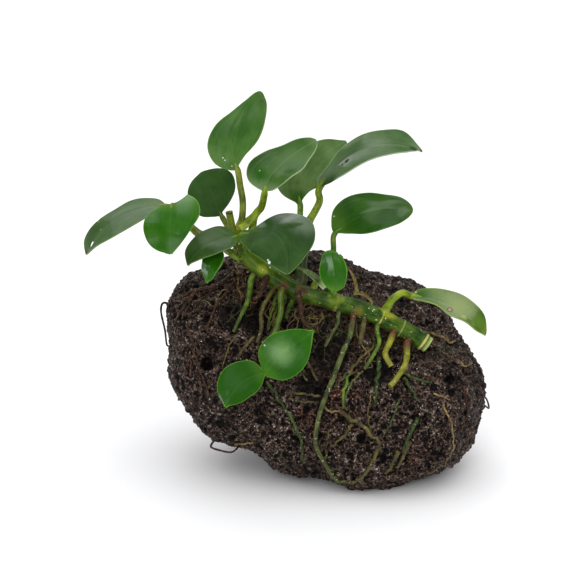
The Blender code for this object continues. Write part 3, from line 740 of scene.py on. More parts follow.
def midrib(leaf, u):
    """Place, direction, sideways and upward directions of the midrib at share u of its length."""
    base = Vector(leaf["base"])
    tip = Vector(leaf["tip"])
    chord = (tip - base).normalized()
    up = Vector(leaf["face"])
    up = (up - up.dot(chord) * chord).normalized()
    side = up.cross(chord)
    control = base.lerp(tip, leaf.get("turn", 0.5)) + 2 * (leaf["arch"] * up + leaf["sweep"] * side)
    place = (1 - u) ** 2 * base + 2 * u * (1 - u) * control + u * u * tip
    forward = ((1 - u) * (control - base) + u * (tip - control)).normalized()
    across = up.cross(forward).normalized()
    return place, forward, across, forward.cross(across)


# %% One blade
BLADE_ROWS = 80
BLADE_COLUMNS = 32
BLADE_THICKNESS = 0.42
HOLES = {"far_left": [(0.895, 0.06, 0.035, 0.26)]}  # share along, share across, and half the size of each


def blade_point(leaf, u, v):
    """A point of the blade: the solid's own sheet, with a sunken midrib, a wavy margin and soft swellings."""
    place, forward, across, up = midrib(leaf, u)
    half = half_width(leaf, u, v)
    back = leaf["lobes"][v > 0] * v * v * max(0.0, 1 - u / LOBE_REACH) ** 2 * min(1.0, u / 0.04)
    rise = leaf["cup"] * half * v * v
    rise -= 0.15 * math.exp(-(v * half / 0.6) ** 2) * (1 - 0.6 * u)
    rise += 0.3 * v * v * math.sin(9 * u + 20 * leaf["cup"]) * min(1.0, 4 * u)
    rise += 0.5 * noise.noise(Vector((2.6 * u, 1.3 * v, leaf["base"][0]))) * min(1.0, 5 * u) * min(1.0, half / 5)
    return place + across * half * v - forward * back + up * rise


def pierced(obj, holes):
    """Takes out the grid's faces in each oval hole and moves the edge that is left onto the oval."""
    work = bmesh.new()
    work.from_mesh(obj.data)
    for u, v, long, wide in holes:
        def away(co):
            return Vector(((co.x + 0.5 - u) / long, (2 * co.y - v) / wide))
        gone = [face for face in work.faces if away(face.calc_center_median()).length < 1]
        bmesh.ops.delete(work, geom=gone, context="FACES")
        for vertex in work.verts:
            if vertex.is_boundary and away(vertex.co).length < 2:
                spot = away(vertex.co).normalized() * (1 + 0.25 * noise.noise(vertex.co * 60))
                vertex.co.x = spot.x * long + u - 0.5
                vertex.co.y = (spot.y * wide + v) / 2
    work.to_mesh(obj.data)
    work.free()


def blade(name, leaf, thickness=BLADE_THICKNESS):
    nothing_selected()
    bpy.ops.mesh.primitive_grid_add(x_subdivisions=BLADE_ROWS, y_subdivisions=BLADE_COLUMNS, size=1, calc_uvs=True)
    obj = bpy.context.object
    obj.name = f"{name}_blade"
    for vertex in obj.data.vertices:
        vertex.co.x = -0.5 * math.cos(math.pi * min(1.0, max(0.0, vertex.co.x + 0.5)))
        vertex.co.y = 0.5 * math.sin(math.pi * max(-0.5, min(0.5, vertex.co.y)))
    pierced(obj, HOLES.get(name, []))
    half = []
    for spot, loop in zip(obj.data.uv_layers[0].data, obj.data.loops):
        co = obj.data.vertices[loop.vertex_index].co
        spot.uv = (co.x + 0.5, co.y + 0.5)
    for vertex in obj.data.vertices:
        u, v = vertex.co.x + 0.5, 2 * vertex.co.y
        half.append(half_width(leaf, u, v))
        vertex.co = blade_point(leaf, u, v) * MM
    keep_value(obj, "half", half)
    obj.data.materials.append(None)
    obj.data.materials.append(None)
    bpy.ops.object.modifier_add(type="SOLIDIFY")
    thick = obj.modifiers["Solidify"]
    thick.thickness = thickness * MM
    thick.offset = 0
    thick.material_offset = 1
    bpy.ops.object.modifier_apply(modifier="Solidify")
    bpy.ops.object.shade_smooth_by_angle(angle=math.radians(60))
    return obj


print("blades to make:", len(LEAVES))

# %% [markdown]
# ## Finish of a blade
# The green is deepest in old leaves and yellower in young ones. Near the base and the tip a painted glow, paler and
# yellower, stands for light coming through the blade, and the thin rim is paler, partly its own colour and partly
# painted glow. The map gives the share along and across, and the half width kept on the mesh turns the share
# across into millimetres, so the rim is equally thin at the belly and at the tip. Small white spots are painted
# glints, and a few patches are painted highlight and painted shade.

# %% Blade finish
def patches(f, along, across, length, places, rough=0.3):
    """The strongest of several soft spots on a blade: share along it, mm aside of its midrib, reach in mm, strength."""
    strongest = None
    for u, aside, reach, strength in places:
        x = (along - u) * length
        y = across - aside
        away = (x * x + y * y).math("SQRT", x * x + y * y)
        spot = f.between(away, reach, reach * rough) * strength
        strongest = spot if strongest is None else strongest.most(spot)
    return strongest


# Dark spots stand for holes, and for the shade of folds, which is painted.
DARK_SPOT = 130  # a spot whose three paint numbers add up to less than this is a hole or a fold, and never shines


def blade_finish(name, deep, lit, rim_and_glow, length, glow=0.25, gloss=0.3, wet=0.02, shine=(), spots=()):
    f = Finish(name)
    place = f.place()
    u, v = f.uv()
    side = (v - 0.5) * 2.0
    half = f.attribute("half")
    across = side * half
    margin = (1 - side.size()) * half
    streak = f.grain(f.together(u * 1.2, side * 12.0), 2.2, detail=5.0, roughness=0.62)
    veins = f.grain(f.together(u * 0.8, side * 30.0), 2.0, detail=2.0)
    cloud = f.grain(place, 110.0, detail=3.0)
    mottle = f.grain(place, 900.0, detail=3.0)
    colour = f.mix(f.between(cloud * 0.6 + streak * 0.4, 0.38, 0.62), deep, lit)
    # Painted glow: paler and yellower near the base and the tip, where light would come through the blade.
    painted_glow = f.between(u, 0.3, 0.0) * 0.8 + f.between(u, 0.88, 1.0) * 0.5
    colour = f.mix((painted_glow * glow * (0.5 + streak)).least(1.0), colour, rim_and_glow)
    colour = f.mix(f.between(veins, 0.56, 0.68) * 0.12, colour, rim_and_glow)
    colour = f.mix(f.between(across.size(), 0.35, 0.05) * 0.07, colour, rim_and_glow)
    # A thin pale rim, partly the blade's own margin and partly painted glow where light comes through the edge.
    colour = f.mix(f.between(margin + (mottle - 0.5) * 0.25, 0.3, 0.1) * 0.6, colour, rim_and_glow)
    dull = 1.0
    for at, aside, size, tone in spots:
        spot = patches(f, u + (mottle - 0.5) * size * 0.02, across, length, [(at, aside, size, 1.0)], 0.6 if size < 2 else 0.05)
        colour = f.mix(spot, colour, paint(*tone))
        dull = dull * (1 - spot) if sum(tone) < DARK_SPOT else dull
    coat = wet + streak * 0.03
    if shine:
        coat = (coat + patches(f, u, across + (streak - 0.5) * 4.0, length, shine)) * dull
    height = streak * 0.35 + veins * 0.25 + mottle * 0.08 + cloud * 0.7
    return f.done(colour, gloss + streak * 0.12, height, 0.13 * MM, coat=coat.least(1.0), Coat_Roughness=0.12,
                  Specular_IOR_Level=0.08)


def underside_finish():
    f = Finish("blade underside")
    u, v = f.uv()
    side = (v - 0.5) * 2.0
    half = f.attribute("half")
    margin = (1 - side.size()) * half
    streak = f.grain(f.together(u * 1.5, side * 12.0), 2.0, detail=4.0)
    colour = f.mix(streak, paint(70, 112, 48), paint(104, 142, 76))
    colour = f.mix(f.between(side.size() * half, 0.9, 0.3) * 0.4, colour, paint(150, 176, 96))
    colour = f.mix(f.between(margin, 0.4, 0.15) * 0.6, colour, paint(170, 190, 110))
    return f.done(colour, 0.45 + streak * 0.1, streak, 0.12 * MM)


UNDERSIDE = underside_finish()
# Painted glints: tiny white spots where a wet blade would mirror a lamp.
PAINTED_GLINT_WHITE = (206, 216, 204)
BRIGHT = dict(deep=paint(26, 80, 0), lit=paint(44, 100, 8), rim_and_glow=paint(110, 160, 50))
BLADE_LOOKS = {
    "top": dict(deep=paint(44, 86, 24), lit=paint(72, 110, 46), rim_and_glow=paint(112, 142, 66), wet=0.06,
                shine=[(0.6, -2, 9, 0.16), (0.12, 2.5, 2, 0.35)],
                spots=[(0.94, -2.4, 0.6, (70, 66, 34)), (0.18, 3.9, 0.3, PAINTED_GLINT_WHITE), (0.15, 3.3, 0.25, PAINTED_GLINT_WHITE),
                       (0.06, 1.3, 0.25, PAINTED_GLINT_WHITE)]),
    "back_left": dict(deep=paint(36, 68, 20), lit=paint(50, 82, 32), rim_and_glow=paint(80, 108, 50), glow=0.1, gloss=0.5,
                      wet=0.0),
    "front_left": dict(deep=paint(22, 78, 0), lit=paint(42, 94, 6), rim_and_glow=paint(110, 160, 50),
                       shine=[(0.1, 5, 5, 0.6), (0.85, 2, 5, 0.9), (0.7, -7, 4, 0.8), (0.3, -7, 4, 0.5)]),
    "far_left": dict(deep=paint(42, 74, 24), lit=paint(62, 92, 42), rim_and_glow=paint(120, 146, 80),
                     shine=[(0.45, 1, 17, 0.25)],
                     spots=[(0.9, 0.1, 2.6, (44, 60, 26)), (0.73, -1.3, 0.25, PAINTED_GLINT_WHITE), (0.71, -7.3, 0.25, PAINTED_GLINT_WHITE),
                            (0.99, 0, 1.2, (60, 52, 30))]),
    "middle": dict(deep=paint(42, 82, 20), lit=paint(64, 98, 40), rim_and_glow=paint(176, 194, 150),
                   shine=[(0.6, -4, 10, 0.5), (0.5, 5, 5, 0.3)],
                   spots=[(0.25, 3.6, 4.0, (30, 84, 4)), (0.3, 4.6, 0.25, PAINTED_GLINT_WHITE)]),
    "back_right": dict(deep=paint(66, 96, 42), lit=paint(96, 122, 68), rim_and_glow=paint(120, 146, 84), glow=0.1,
                       gloss=0.5, wet=0.05, spots=[(0.06, 0, 6, (44, 84, 16))]),
    "upper_right": dict(deep=paint(46, 78, 28), lit=paint(66, 98, 46), rim_and_glow=paint(184, 198, 170), wet=0.1,
                        shine=[(0.3, -1, 8, 0.8), (0.5, 1, 14, 0.4)],
                        spots=[(0.34, -2.2, 1.3, (8, 14, 6)), (0.29, -2.4, 0.7, (20, 34, 16)),
                               (0.93, 0, 1.5, (40, 64, 30)), (1.0, 0.2, 0.9, (96, 66, 36)),
                               # Painted shade: two dark green patches where the base of the blade folds.
                               (0.05, -4.0, 6.5, (18, 56, 4)), (0.14, -6.0, 4.5, (24, 62, 8))]),
    "mid_right": dict(deep=paint(24, 66, 0), lit=paint(46, 86, 16), rim_and_glow=paint(110, 144, 60),
                      shine=[(0.65, 0, 12, 0.35), (0.9, -1, 3.5, 0.9)],
                      spots=[(0.12, 5.1, 0.25, PAINTED_GLINT_WHITE)]),
    "front_centre": dict(deep=paint(24, 56, 8), lit=paint(42, 76, 22), rim_and_glow=paint(110, 138, 74), wet=0.04,
                         shine=[(0.45, 11, 7, 1.0), (0.2, 3, 3, 0.5)],
                         spots=[(0.89, -6.3, 0.6, PAINTED_GLINT_WHITE), (0.86, -6.7, 0.35, PAINTED_GLINT_WHITE), (0.5, 7.0, 2.0, (36, 62, 26))]),
    "front_low_left": dict(deep=paint(34, 62, 18), lit=paint(52, 80, 34), rim_and_glow=paint(104, 132, 66),
                           shine=[(0.35, 0, 9, 0.25)]),
    "young_upright": dict(BRIGHT, glow=0.5, shine=[(0.7, 1.5, 3.5, 0.8), (0.35, -2, 3, 0.4)], wet=0.1),
    "young_hanging": dict(BRIGHT, shine=[(0.5, 0, 6, 1.0)], wet=0.3),
    "low_right": dict(deep=paint(50, 84, 8), lit=paint(84, 112, 26), rim_and_glow=paint(170, 186, 110), glow=0.3,
                      shine=[(0.5, 2, 14, 0.9)], wet=0.15,
                      spots=[(0.55, 1.5, 10.0, (116, 134, 66)), (0.1, 1.0, 5.0, (44, 84, 6)),
                             (0.85, 1.5, 4.0, (80, 112, 30)), (0.47, -1.6, 1.3, (60, 62, 20)),
                             (0.47, -1.6, 0.8, (150, 124, 96)), (0.66, -1.4, 1.4, (128, 144, 66)),
                             (0.8, -1.2, 1.2, (92, 116, 44)), (0.02, 1.6, 0.3, PAINTED_GLINT_WHITE)]),
    "runner_right": dict(BRIGHT, shine=[(0.5, 2, 9, 1.0), (0.6, -4, 4, 0.7)], wet=0.05,
                         # Painted highlight: a broad paler patch in the middle of the blade, and a small pale glint
                         # near its edge.
                         spots=[(0.45, 1, 7, (96, 138, 70)), (0.32, 6.9, 0.45, (176, 180, 150))]),
    "runner_left": dict(BRIGHT, deep=paint(24, 74, 0), lit=paint(28, 78, 2), shine=[(0.88, -2, 3, 0.6)]),
}

# %% Make every blade
blades = {}
for name, leaf in LEAVES.items():
    piece = blade(name, leaf)
    length = (Vector(leaf["tip"]) - Vector(leaf["base"])).length
    finished(piece, [blade_finish(f"{name} green", length=length, **BLADE_LOOKS[name]), UNDERSIDE], "leaf_green",
             f"leaf_{name}_blade")
    blades[name] = piece
print("blades:", len(blades), "triangles:", sum(triangles(b) for b in blades.values()))

# %% [markdown]
# ## Leaf stalks
# A stalk leaves the stem squarely, bends, and runs a little way under its blade as the midrib. The visual stalk
# starts inside the stem and ends under the blade, so there is no air at either end.

# %% Stalks
STALKS = {
    "top": ("rhizome", 1.0, (1.3, -0.8, 0.4), [(-34.6, -12, 100), (-34.3, -12.4, 106), (-35.2, -12.4, 112)], 1.35, 1.1),
    "back_left": ("rhizome", 0.96, (-0.5, 0.9, 0.1), [], 1.2, 1.0),
    "front_left": ("rhizome", 0.92, (-1.0, -0.25, 0.0), [(-45, -12.4, 91.6), (-50.5, -14, 94), (-55, -18, 100.5)],
                   1.3, 0.9, (-0.5, -0.75, 0.5)),
    "far_left": ("rhizome", 0.9, (-0.9, 0.5, 0.0), [(-45, -7, 90.5), (-51, -6.5, 93), (-57, -5.5, 98.5)], 1.2, 1.0),
    "middle": ("rhizome", 0.97, (1.0, -0.15, 0.3), [(-30.2, -9, 99.5), (-27.6, -12.5, 104)], 1.5, 1.25),
    "front_centre": ("rhizome", 0.925, (0.7, -1.0, 0.0), [], 1.3, 1.1, (0.3, -0.9, 0.3)),
    "front_low_left": ("rhizome", 0.965, (-0.6, -1.0, 0.0), [], 1.2, 1.0, (-0.3, -0.95, 0.1)),
    "young_hanging": ("rhizome", 0.89, (-0.7, -0.8, 0.0), [(-40.5, -17, 90.4)], 0.9, 0.8),
    "back_right": ("branch", 0.93, (-0.6, 0.8, 0.1), [], 1.2, 1.1),
    "upper_right": ("branch", 1.0, (0.3, 0.2, 0), [(-8.2, -1, 99), (-6.3, 0, 103)], 1.45, 1.25),
    "mid_right": ("rhizome", 0.545, (0.1, 0.4, 0.9), [(-4.8, -15, 79), (-1.6, -12, 86)], 1.2, 1.0),
    "young_upright": ("rhizome", 0.475, (0.1, -0.45, 0.85), [], 1.0, 0.9),
    "low_right": ("rhizome", 0.235, (0.1, 0.0, 1.0), [(20.2, -19.4, 71.4), (23.6, -18.4, 73.3)], 1.5, 1.1),
}
STALK_FINISHES = {
    "olive": stem_finish("olive stalk", paint(64, 78, 12), paint(122, 134, 34), paint(150, 146, 50), 0.2, coat=0.25),
    "green": stem_finish("green stalk", paint(48, 84, 10), paint(108, 138, 32), paint(140, 150, 50), 0.2, coat=0.25),
    "yellow": stem_finish("yellow stalk", paint(70, 96, 4), paint(138, 158, 28), paint(150, 164, 40), 0.2, coat=0.25),
}
STALK_LOOKS = {"top": "olive", "back_left": "olive", "front_left": "olive", "far_left": "olive", "middle": "yellow",
               "upper_right": "yellow", "low_right": "yellow"}


def stalk(name, spec):
    stem, share, heading, passes, thick, thin, *arrives = spec
    leaf = LEAVES[name]
    base, forward, _, up = midrib(leaf, 0.0)
    under, _, _, lift = midrib(leaf, 0.10)
    way = Vector(arrives[0]).normalized() if arrives else forward
    ends = [base - way * 0.8 - up * 0.3, under - lift * 0.25]
    route = side_route(stems[stem], share, heading, passes, thick, thin, 0.8, ends)
    for i, point in enumerate(route):
        left = (len(route) - 1 - i) * 0.8
        point.w *= 0.35 + 0.65 * min(1.0, left / 3.0)
        point.w *= 1 + 0.5 * math.exp(-i * 0.8 / 1.6)
    return tubes(f"{name}_stalk", [route], rounds=5)


for name, spec in STALKS.items():
    finished(stalk(name, spec), STALK_FINISHES[STALK_LOOKS.get(name, "green")], "stem_green", f"leaf_{name}_stalk")

stub_route = side_route(stems["rhizome"], 1.0, (-1.5, 0.3, 0), [(-39.4, -10, 101.6)], 1.45, 1.35, 0.5)
CUT_STALK = stem_finish("cut stalk", paint(70, 92, 6), paint(126, 142, 30), paint(150, 164, 40), 0.2, coat=0.2,
                        tip=paint(70, 46, 24))
finished(tubes("cut_stalk", [stub_route], rounds=6), CUT_STALK, "stem_green", "cut_leaf_stalk")
print("stalks:", len(STALKS) + 1)

# %% [markdown]
# ## Papery remains
# Every young stalk breaks out of a papery sheath, and what is left of it dries to tan. These scraps are narrow
# blades, so the blade maker makes them, with their own few numbers.

# %% Sheaths
SHEATHS = {
    "pale_flap": dict(base=(-4.6, -22.8, 76.6), tip=(-14.6, -18.5, 83.0), face=(-0.2, -0.8, 0.55), arch=0.8, sweep=-0.8,
                      left=(1.0, 1.2, 1.2, 1.1, 0.9, 0.6, 0.4), right=(1.0, 1.2, 1.2, 1.1, 0.9, 0.6, 0.4), cup=0.5,
                      lobes=(0, 0)),
    "tan_strip": dict(base=(6.8, -20.6, 73.4), tip=(3.2, -14.5, 82.4), face=(0.2, -0.9, 0.4), arch=0.8, sweep=-0.9,
                      left=(0.5, 0.5, 0.5, 0.4, 0.4, 0.3, 0.2), right=(0.5, 0.5, 0.5, 0.4, 0.4, 0.3, 0.2), cup=0.5,
                      lobes=(0, 0)),
    "tan_curl": dict(base=(5.8, -21.6, 74.0), tip=(12.4, -22.0, 70.2), face=(0.3, -0.4, 0.85), arch=1.6, sweep=0.4,
                     left=(0.6, 0.7, 0.8, 0.8, 0.7, 0.5, 0.3), right=(0.6, 0.7, 0.8, 0.8, 0.7, 0.5, 0.3), cup=0.3,
                     lobes=(0, 0)),
    "green_sheath": dict(base=(-35.4, -13.5, 96.6), tip=(-28.6, -12.2, 104.2), face=(-0.5, -0.8, 0.3), arch=-0.4,
                         sweep=-0.6, left=(1.4, 1.7, 1.7, 1.5, 1.2, 0.8, 0.4), right=(1.4, 1.7, 1.7, 1.5, 1.2, 0.8, 0.4),
                         cup=-0.35, lobes=(0, 0)),
}
SHEATH_TAN = stem_finish("dry sheath", paint(74, 62, 30), paint(140, 126, 74), paint(120, 120, 50), 0.2, gloss=0.5,
                         coat=0.0)
SHEATH_PALE = stem_finish("pale sheath", paint(52, 78, 30), paint(128, 148, 92), paint(190, 204, 150), 0.3, coat=0.2)
SHEATH_FINISHES = {"pale_flap": SHEATH_PALE, "tan_strip": SHEATH_TAN, "tan_curl": SHEATH_TAN,
                   "green_sheath": STALK_FINISHES["yellow"]}

for name, leaf in SHEATHS.items():
    finished(blade(name, leaf, thickness=0.3), SHEATH_FINISHES[name],
             "root_brown" if "tan" in name else "stem_green")
print("sheaths:", len(SHEATHS))

# %% [markdown]
# ## Main roots
# The main roots leave the underside of the stem, lie over the stone and taper. Their thickness is uneven, as they
# follow the pores. Each route is the solid's own, pushed just clear of the rough stone.

# %% Roots
ROOTS = {
    "green_left": (0.80, (-0.3, -0.6, -0.8), [(-31.9, -16.5, 73.5), (-33, -19.5, 69.5), (-35, -23, 66.2),
                                                  (-37.5, -28.2, 62)], 1.3, 0.6),
    "brown_knotted": (0.745, (0.2, -0.9, -0.4), [(-28, -19.5, 73.2), (-30.6, -20.5, 71.4)], 1.2, 0.8),
    "olive": (0.70, (-0.2, -0.6, -0.8), [(-27.5, -22.5, 68), (-27.6, -25, 62), (-29.4, -28, 57.5)], 1.0, 0.7),
    "brown_draped": (0.60, (0.1, -0.9, 0.1), [(-13.4, -23.6, 70), (-13.2, -24, 66), (-11, -25.2, 63),
                                                  (-8, -26.2, 61)], 1.1, 0.6),
    "short_pale": (0.42, (-0.1, -0.6, -0.8), [(0, -23.5, 63.3), (-2.2, -26.4, 60.2), (-4.6, -29.4, 56.6)],
                        0.9, 0.5),
    "long": (0.36, (0.0, -0.8, -0.6), [(4.4, -26.5, 60), (1.6, -30.3, 54.5), (-1.6, -33.5, 46.5),
                                           (-4.6, -35, 39), (-7, -36, 31.4), (-8.0, -37, 22.5), (-5.6, -36, 15.5),
                                           (-1.5, -34, 8.5), (3, -32, 5)], 1.1, 0.7),
    "stub_pale": (0.305, (-0.1, -0.7, -0.7), [(8.6, -25.4, 59.8), (8.0, -27.4, 56.6)], 1.05, 0.9),
    "bright": (0.24, (0.0, -0.7, -0.7), [(15.1, -24.6, 56.4), (13.4, -26.8, 53.2), (9.6, -30, 48.2)], 0.9, 0.7),
    "yellow_hooked": (0.165, (-0.1, -0.8, -0.6), [(18.6, -24.6, 55.6), (17.2, -26.6, 52.6),
                                                      (19.4, -28.2, 48.6)], 1.35, 1.0),
    "yellow_end": (0.085, (0.0, -0.8, -0.7), [(25.2, -25.6, 51.8), (24.2, -28, 48.6), (21.4, -30.2, 44.8),
                                                  (18.9, -32, 42.4)], 1.35, 0.95),
}


def lay(route, clear=0.1):
    """Lifts a route's points out of the stone by their radius."""
    for _ in range(3):
        for point in route[4:]:
            near, normal, _, _ = stone_tree.find_nearest(point.to_3d() * MM)
            short = point.w * 0.7 + clear - (point.to_3d() - near / MM).dot(normal)
            if short > 0:
                lift = normal * short
                point.x += lift.x
                point.y += lift.y
                point.z += lift.z
    return route


def root_finish(name, shade, light, tip, painted_glint_share=0.4, rough=0.45, coat=0.15, cap=0.03):
    f = Finish(name)
    place = f.place()
    u, v = f.uv()
    streak = f.grain(f.together(u * 6.0, v * 5.0), 4.0, detail=4.0)
    dots = f.grain(place, 1100.0, detail=3.0, roughness=0.7)
    blotch = f.grain(place, 330.0, detail=3.0)
    colour = f.mix(f.between(blotch * 0.6 + streak * 0.4, 0.38, 0.62), shade, light)
    colour = f.mix(f.between(u, cap, cap * 0.4) * (0.4 + cap + blotch * 0.5).least(1.0), colour, paint(80, 38, 18))
    colour = f.mix(f.between(u, 0.5, 0.95) * 0.75, colour, tip)
    # Painted glints: pale specks where the wet root would mirror a lamp.
    colour = f.mix(f.between(dots, 0.6, 0.7) * painted_glint_share, colour, paint(214, 214, 176))
    return f.done(colour, rough + blotch * 0.15, streak * 0.4 + dots * 0.5 + blotch * 0.5, 0.3 * MM, coat=coat,
                  Coat_Roughness=0.12, Specular_IOR_Level=0.2)


ROOT_FINISHES = {
    "olive": root_finish("olive root", paint(40, 38, 16), paint(98, 88, 40), paint(70, 62, 32), painted_glint_share=0.5),
    "brown": root_finish("brown root", paint(24, 12, 7), paint(74, 42, 24), paint(58, 38, 20), painted_glint_share=0.35, coat=0.1),
    "yellow": root_finish("yellow root", paint(92, 94, 14), paint(158, 158, 46), paint(132, 128, 44), painted_glint_share=0.45,
                          cap=0.36),
    "green": root_finish("green root", paint(44, 72, 14), paint(108, 138, 38), paint(54, 58, 26), painted_glint_share=0.4,
                         cap=0.12),
    "grey": root_finish("grey-green root", paint(34, 42, 18), paint(92, 102, 48), paint(70, 74, 38), painted_glint_share=0.7,
                        cap=0.1),
    "moss": root_finish("mossy root", paint(20, 24, 10), paint(64, 88, 28), paint(50, 56, 26), painted_glint_share=0.6),
    "tan": root_finish("tan root", paint(84, 66, 38), paint(150, 126, 80), paint(120, 96, 60), painted_glint_share=0.3),
}
ROOT_LOOKS = {"green_left": "green", "brown_knotted": "brown", "olive": "olive", "brown_draped": "brown",
              "short_pale": "grey", "long": "grey", "stub_pale": "olive", "bright": "green",
              "yellow_hooked": "yellow", "yellow_end": "yellow"}


def knobbly(route, amount, spacing=1.6):
    for point in route:
        point.w *= 1 + amount * noise.noise(point.to_3d() / spacing + Vector((point.w, 0, 0)))
    return route


for name, (share, heading, passes, thick, thin) in ROOTS.items():
    route = side_route(stems["rhizome"], share, heading, passes, thick, thin, 0.45)
    knobbly(lay(route), 0.3 if "brown" in name else 0.14)
    finished(tubes(f"{name}_root", [route], rounds=4), ROOT_FINISHES[ROOT_LOOKS[name]],
             "root_brown" if "brown" in name else "root_olive", f"root_{name}")
print("main roots:", len(ROOTS))

# %% [markdown]
# ## Fine roots
# Hundreds of thread-like roots cling to the stone. Those that are easy to make out are listed one by one: each is
# given by the places it passes as seen from the front, and dropped back onto the stone. The rest are walked over the
# stone from the stem outwards and downwards, with small seeded turns.

# %% Fine roots listed one by one
HAND_ROOTS = {
    # kind: (radius, then x and z of the places it passes on the front of the stone)
    "olive": [
        (0.6, (-30, 59.5), (-34.5, 55.5), (-36, 52.5)), (0.45, (-29, 58), (-28.5, 52.5)),
        (0.6, (-21, 71), (-22.5, 65.5), (-25.5, 60.5)), (0.6, (-11, 51), (-7.5, 44.5)),
        (0.5, (-13, 48.5), (-11, 44)), (0.6, (-18.5, 40), (-13.5, 39.5), (-6.5, 38.5)),
        (0.4, (-17.5, 37.5), (-12, 36.5), (-7, 36.5)), (0.6, (13.5, 55), (5.5, 48.5), (-1.5, 42)),
        (0.7, (5.5, 29.5), (2, 25), (-1.5, 20.5)), (0.8, (26.5, 23.5), (24, 18), (21.5, 12.5)),
        (0.8, (1, 33.5), (4.5, 30.5), (7.5, 29.5), (11, 27), (15, 22.5), (13.5, 18.5), (11.5, 13.5), (7, 6.5),
         (1.5, 6), (-3.5, 10), (-4, 18.5)),
        (0.9, (22, 20), (20, 15.5), (17.5, 10)), (0.35, (-2.8, 26.9), (-4.2, 17.0), (-2.6, 8.1)),
        (0.3, (12.4, 38.9), (10.9, 32.3), (12, 27)), (0.35, (-36.5, 60.3), (-39.7, 55.9), (-41.5, 50.5)),
    ],
    "green": [
        (0.8, (-18.5, 70.5), (-21, 65.5), (-24, 59.5)), (0.7, (-16.5, 69), (-18.5, 64)),
        (0.9, (-15.5, 70), (-17.5, 67), (-18.5, 64.5)), (0.6, (-22, 71), (-23.5, 67), (-25, 63.5), (-25.5, 60.5)),
        (0.6, (5, 47), (2.5, 42), (2, 36), (3.5, 33.5)),
    ],
    "moss": [
        (0.8, (29, 32), (26.5, 28), (24.5, 22.5), (23.5, 18.5)), (0.6, (24.5, 45.5), (28.5, 44), (34, 42.5)),
        (0.7, (24, 44), (26.5, 41), (29.5, 37)), (1.0, (15, 51), (14.5, 45), (13.5, 35)),
        (0.7, (-25.6, 43.5), (-22.4, 38.5), (-19.1, 33.8), (-15.1, 26.8), (-12.9, 19.7), (-12.1, 12.9)),
        (0.4, (22.5, 37.3), (19.4, 29.7), (16, 25)),
    ],
    "grey": [(0.6, (-3, 59.5), (-5, 56)), (0.5, (9, 46.5), (4.5, 42.5), (2.5, 37))],
    "tan": [
        (0.5, (35.5, 54), (37.5, 53), (41, 51), (42.5, 49.5), (45, 49.5)), (0.4, (44, 46.5), (47, 44), (50.5, 43)),
        (0.35, (34.5, 40), (37.5, 39), (40.5, 37)), (0.45, (-5.5, 35.5), (-3, 33), (1, 33.5)),
        (0.5, (-37.5, 16), (-31, 18)), (0.4, (37.6, 36.9), (41.1, 28.3), (42.4, 18.3), (38.2, 10.7), (33.7, 7.1)),
    ],
    "brown": [
        (1.0, (-30.5, 72.5), (-33, 70.5), (-35.5, 69)),
        (0.4, (-54, 60.3), (-51.3, 52.1), (-48.1, 43.5), (-45.6, 36.9)), (0.4, (45.2, 40.8), (47.7, 30.9), (45, 24)),
        (0.5, (20, 10.5), (23, 4)), (0.4, (41, 32.5), (39, 27.5), (35, 21.5)),
        (0.8, (-37.5, 77.5), (-42.5, 74.5), (-46.5, 73), (-52, 71.5), (-58, 68)),
        (0.5, (-52, 71.5), (-56, 66.5), (-59.5, 60.5)), (0.5, (-52, 71.5), (-54, 67.5), (-55.5, 63.5)),
        (0.5, (-55, 61), (-52.5, 57.5), (-50, 53)), (0.45, (-53.5, 53.5), (-53, 49), (-53, 44.5)),
        (0.6, (-34.5, 77.5), (-40, 72.5), (-44.5, 67.5), (-47.5, 61.5)),
        (0.5, (-39.5, 75), (-48.5, 70), (-54, 64)),
    ],
}
FREE_ROOTS = [
    # thin wiry roots that leave the stone in a loop: radius, then places
    (0.45, (-62.2, -2, 63.5), (-64.9, -2, 63.9), (-65.5, -4, 61.1), (-63.9, -8, 55.3), (-63.1, -10, 50.1)),
    (0.45, (-45, -20, 16.5), (-46.4, -18, 13.9), (-46.8, -18, 12.2), (-43, -22, 12.6), (-38.8, -24, 12.9)),
    (0.4, (54.8, -3, 26.9), (57.9, 0, 24.8), (58.7, -4, 22.3), (56.5, -6, 24.4)),
]


def hand_root(radius, *places):
    """A fine root that lies half sunk in the stone."""
    spots = [onto_stone(stone_tree, x, z) for x, z in places]
    route = smooth_route(tapered([s for s in spots if s is not None], radius, radius * 0.7), 0.6)
    for point in route:
        near, normal, _, _ = stone_tree.find_nearest(point.to_3d() * MM)
        point.x, point.y, point.z = near / MM + normal * radius * 0.55
    return knobbly(route, 0.25)


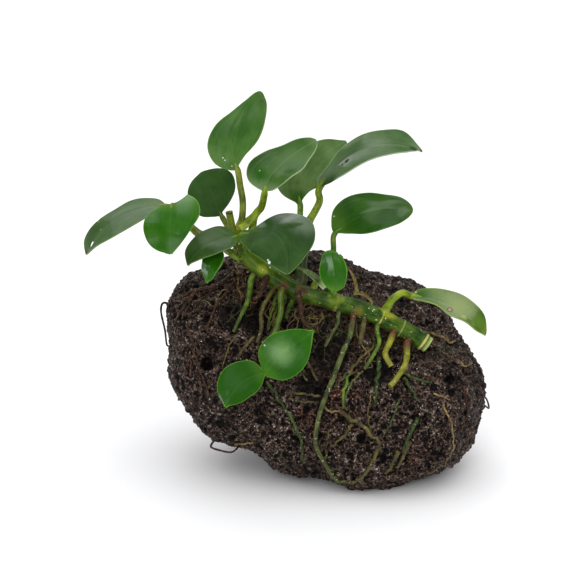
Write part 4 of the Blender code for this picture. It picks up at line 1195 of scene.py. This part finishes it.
def free_root(radius, *places):
    """A wiry root that loops through the air and goes back into the stone at both ends."""
    ends = []
    for x, y, z in (places[0], places[-1]):
        near, normal, _, _ = stone_tree.find_nearest(Vector((x, y, z)) * MM)
        ends.append(near / MM - normal * 0.6)
    return knobbly(smooth_route(tapered([ends[0], *places, ends[1]], radius, radius * 0.8), 0.5), 0.2)


for look, lines in HAND_ROOTS.items():
    routes = [hand_root(*line) for line in lines]
    if look == "brown":
        routes += [free_root(*line) for line in FREE_ROOTS]
    piece = tubes(f"{look}_fine_roots", routes, rounds=3)
    finished(piece, ROOT_FINISHES[look], "root_brown" if look == "brown" else "root_olive")
print("hand-laid roots:", sum(len(lines) for lines in HAND_ROOTS.values()))

# %% Fine roots that wander
WANDERERS = 150
dice = random.Random(7)


def wander(start, way, length, radius):
    """A thread that creeps over the stone from a point, turning a little at each step."""
    point = Vector(start)
    way = Vector(way).normalized()
    route = []
    for _ in range(int(length / 0.8)):
        near, normal, _, _ = stone_tree.find_nearest(point * MM)
        near = near / MM
        way = (way + Vector((dice.gauss(0, 0.3), dice.gauss(0, 0.3), dice.gauss(-0.05, 0.3)))).normalized()
        way = (way - way.dot(normal) * normal).normalized()
        spot = (near + normal * radius * 0.5).to_4d()
        spot.w = radius * (1 - 0.5 * len(route) * 0.8 / length)
        if near.z < 0.8:
            break
        route.append(spot)
        point = near + way * 0.8
    return route if len(route) > 3 else None


wandering = {"olive": [], "brown": [], "moss": [], "tan": []}
for i in range(WANDERERS):
    place, direction = along(stems["rhizome"], dice.uniform(0.02, 0.98))
    start = place.to_3d() + Vector((0, dice.choice((-2.0, 6.0, 12.0)), -3.0))
    way = Vector((dice.gauss(-0.1, 0.8), dice.gauss(0.0, 0.9), dice.gauss(-0.9, 0.4)))
    route = wander(start, way, dice.uniform(8, 46), dice.uniform(0.12, 0.3))
    if route:
        wandering[dice.choice(("olive", "brown", "brown", "moss", "tan"))].append(route)
for look, routes in wandering.items():
    piece = tubes(f"{look}_root_threads", routes, rounds=1)
    finished(piece, ROOT_FINISHES[look], "root_brown" if look == "brown" else "root_olive")
    print(look, "threads:", len(routes), "triangles:", triangles(piece))
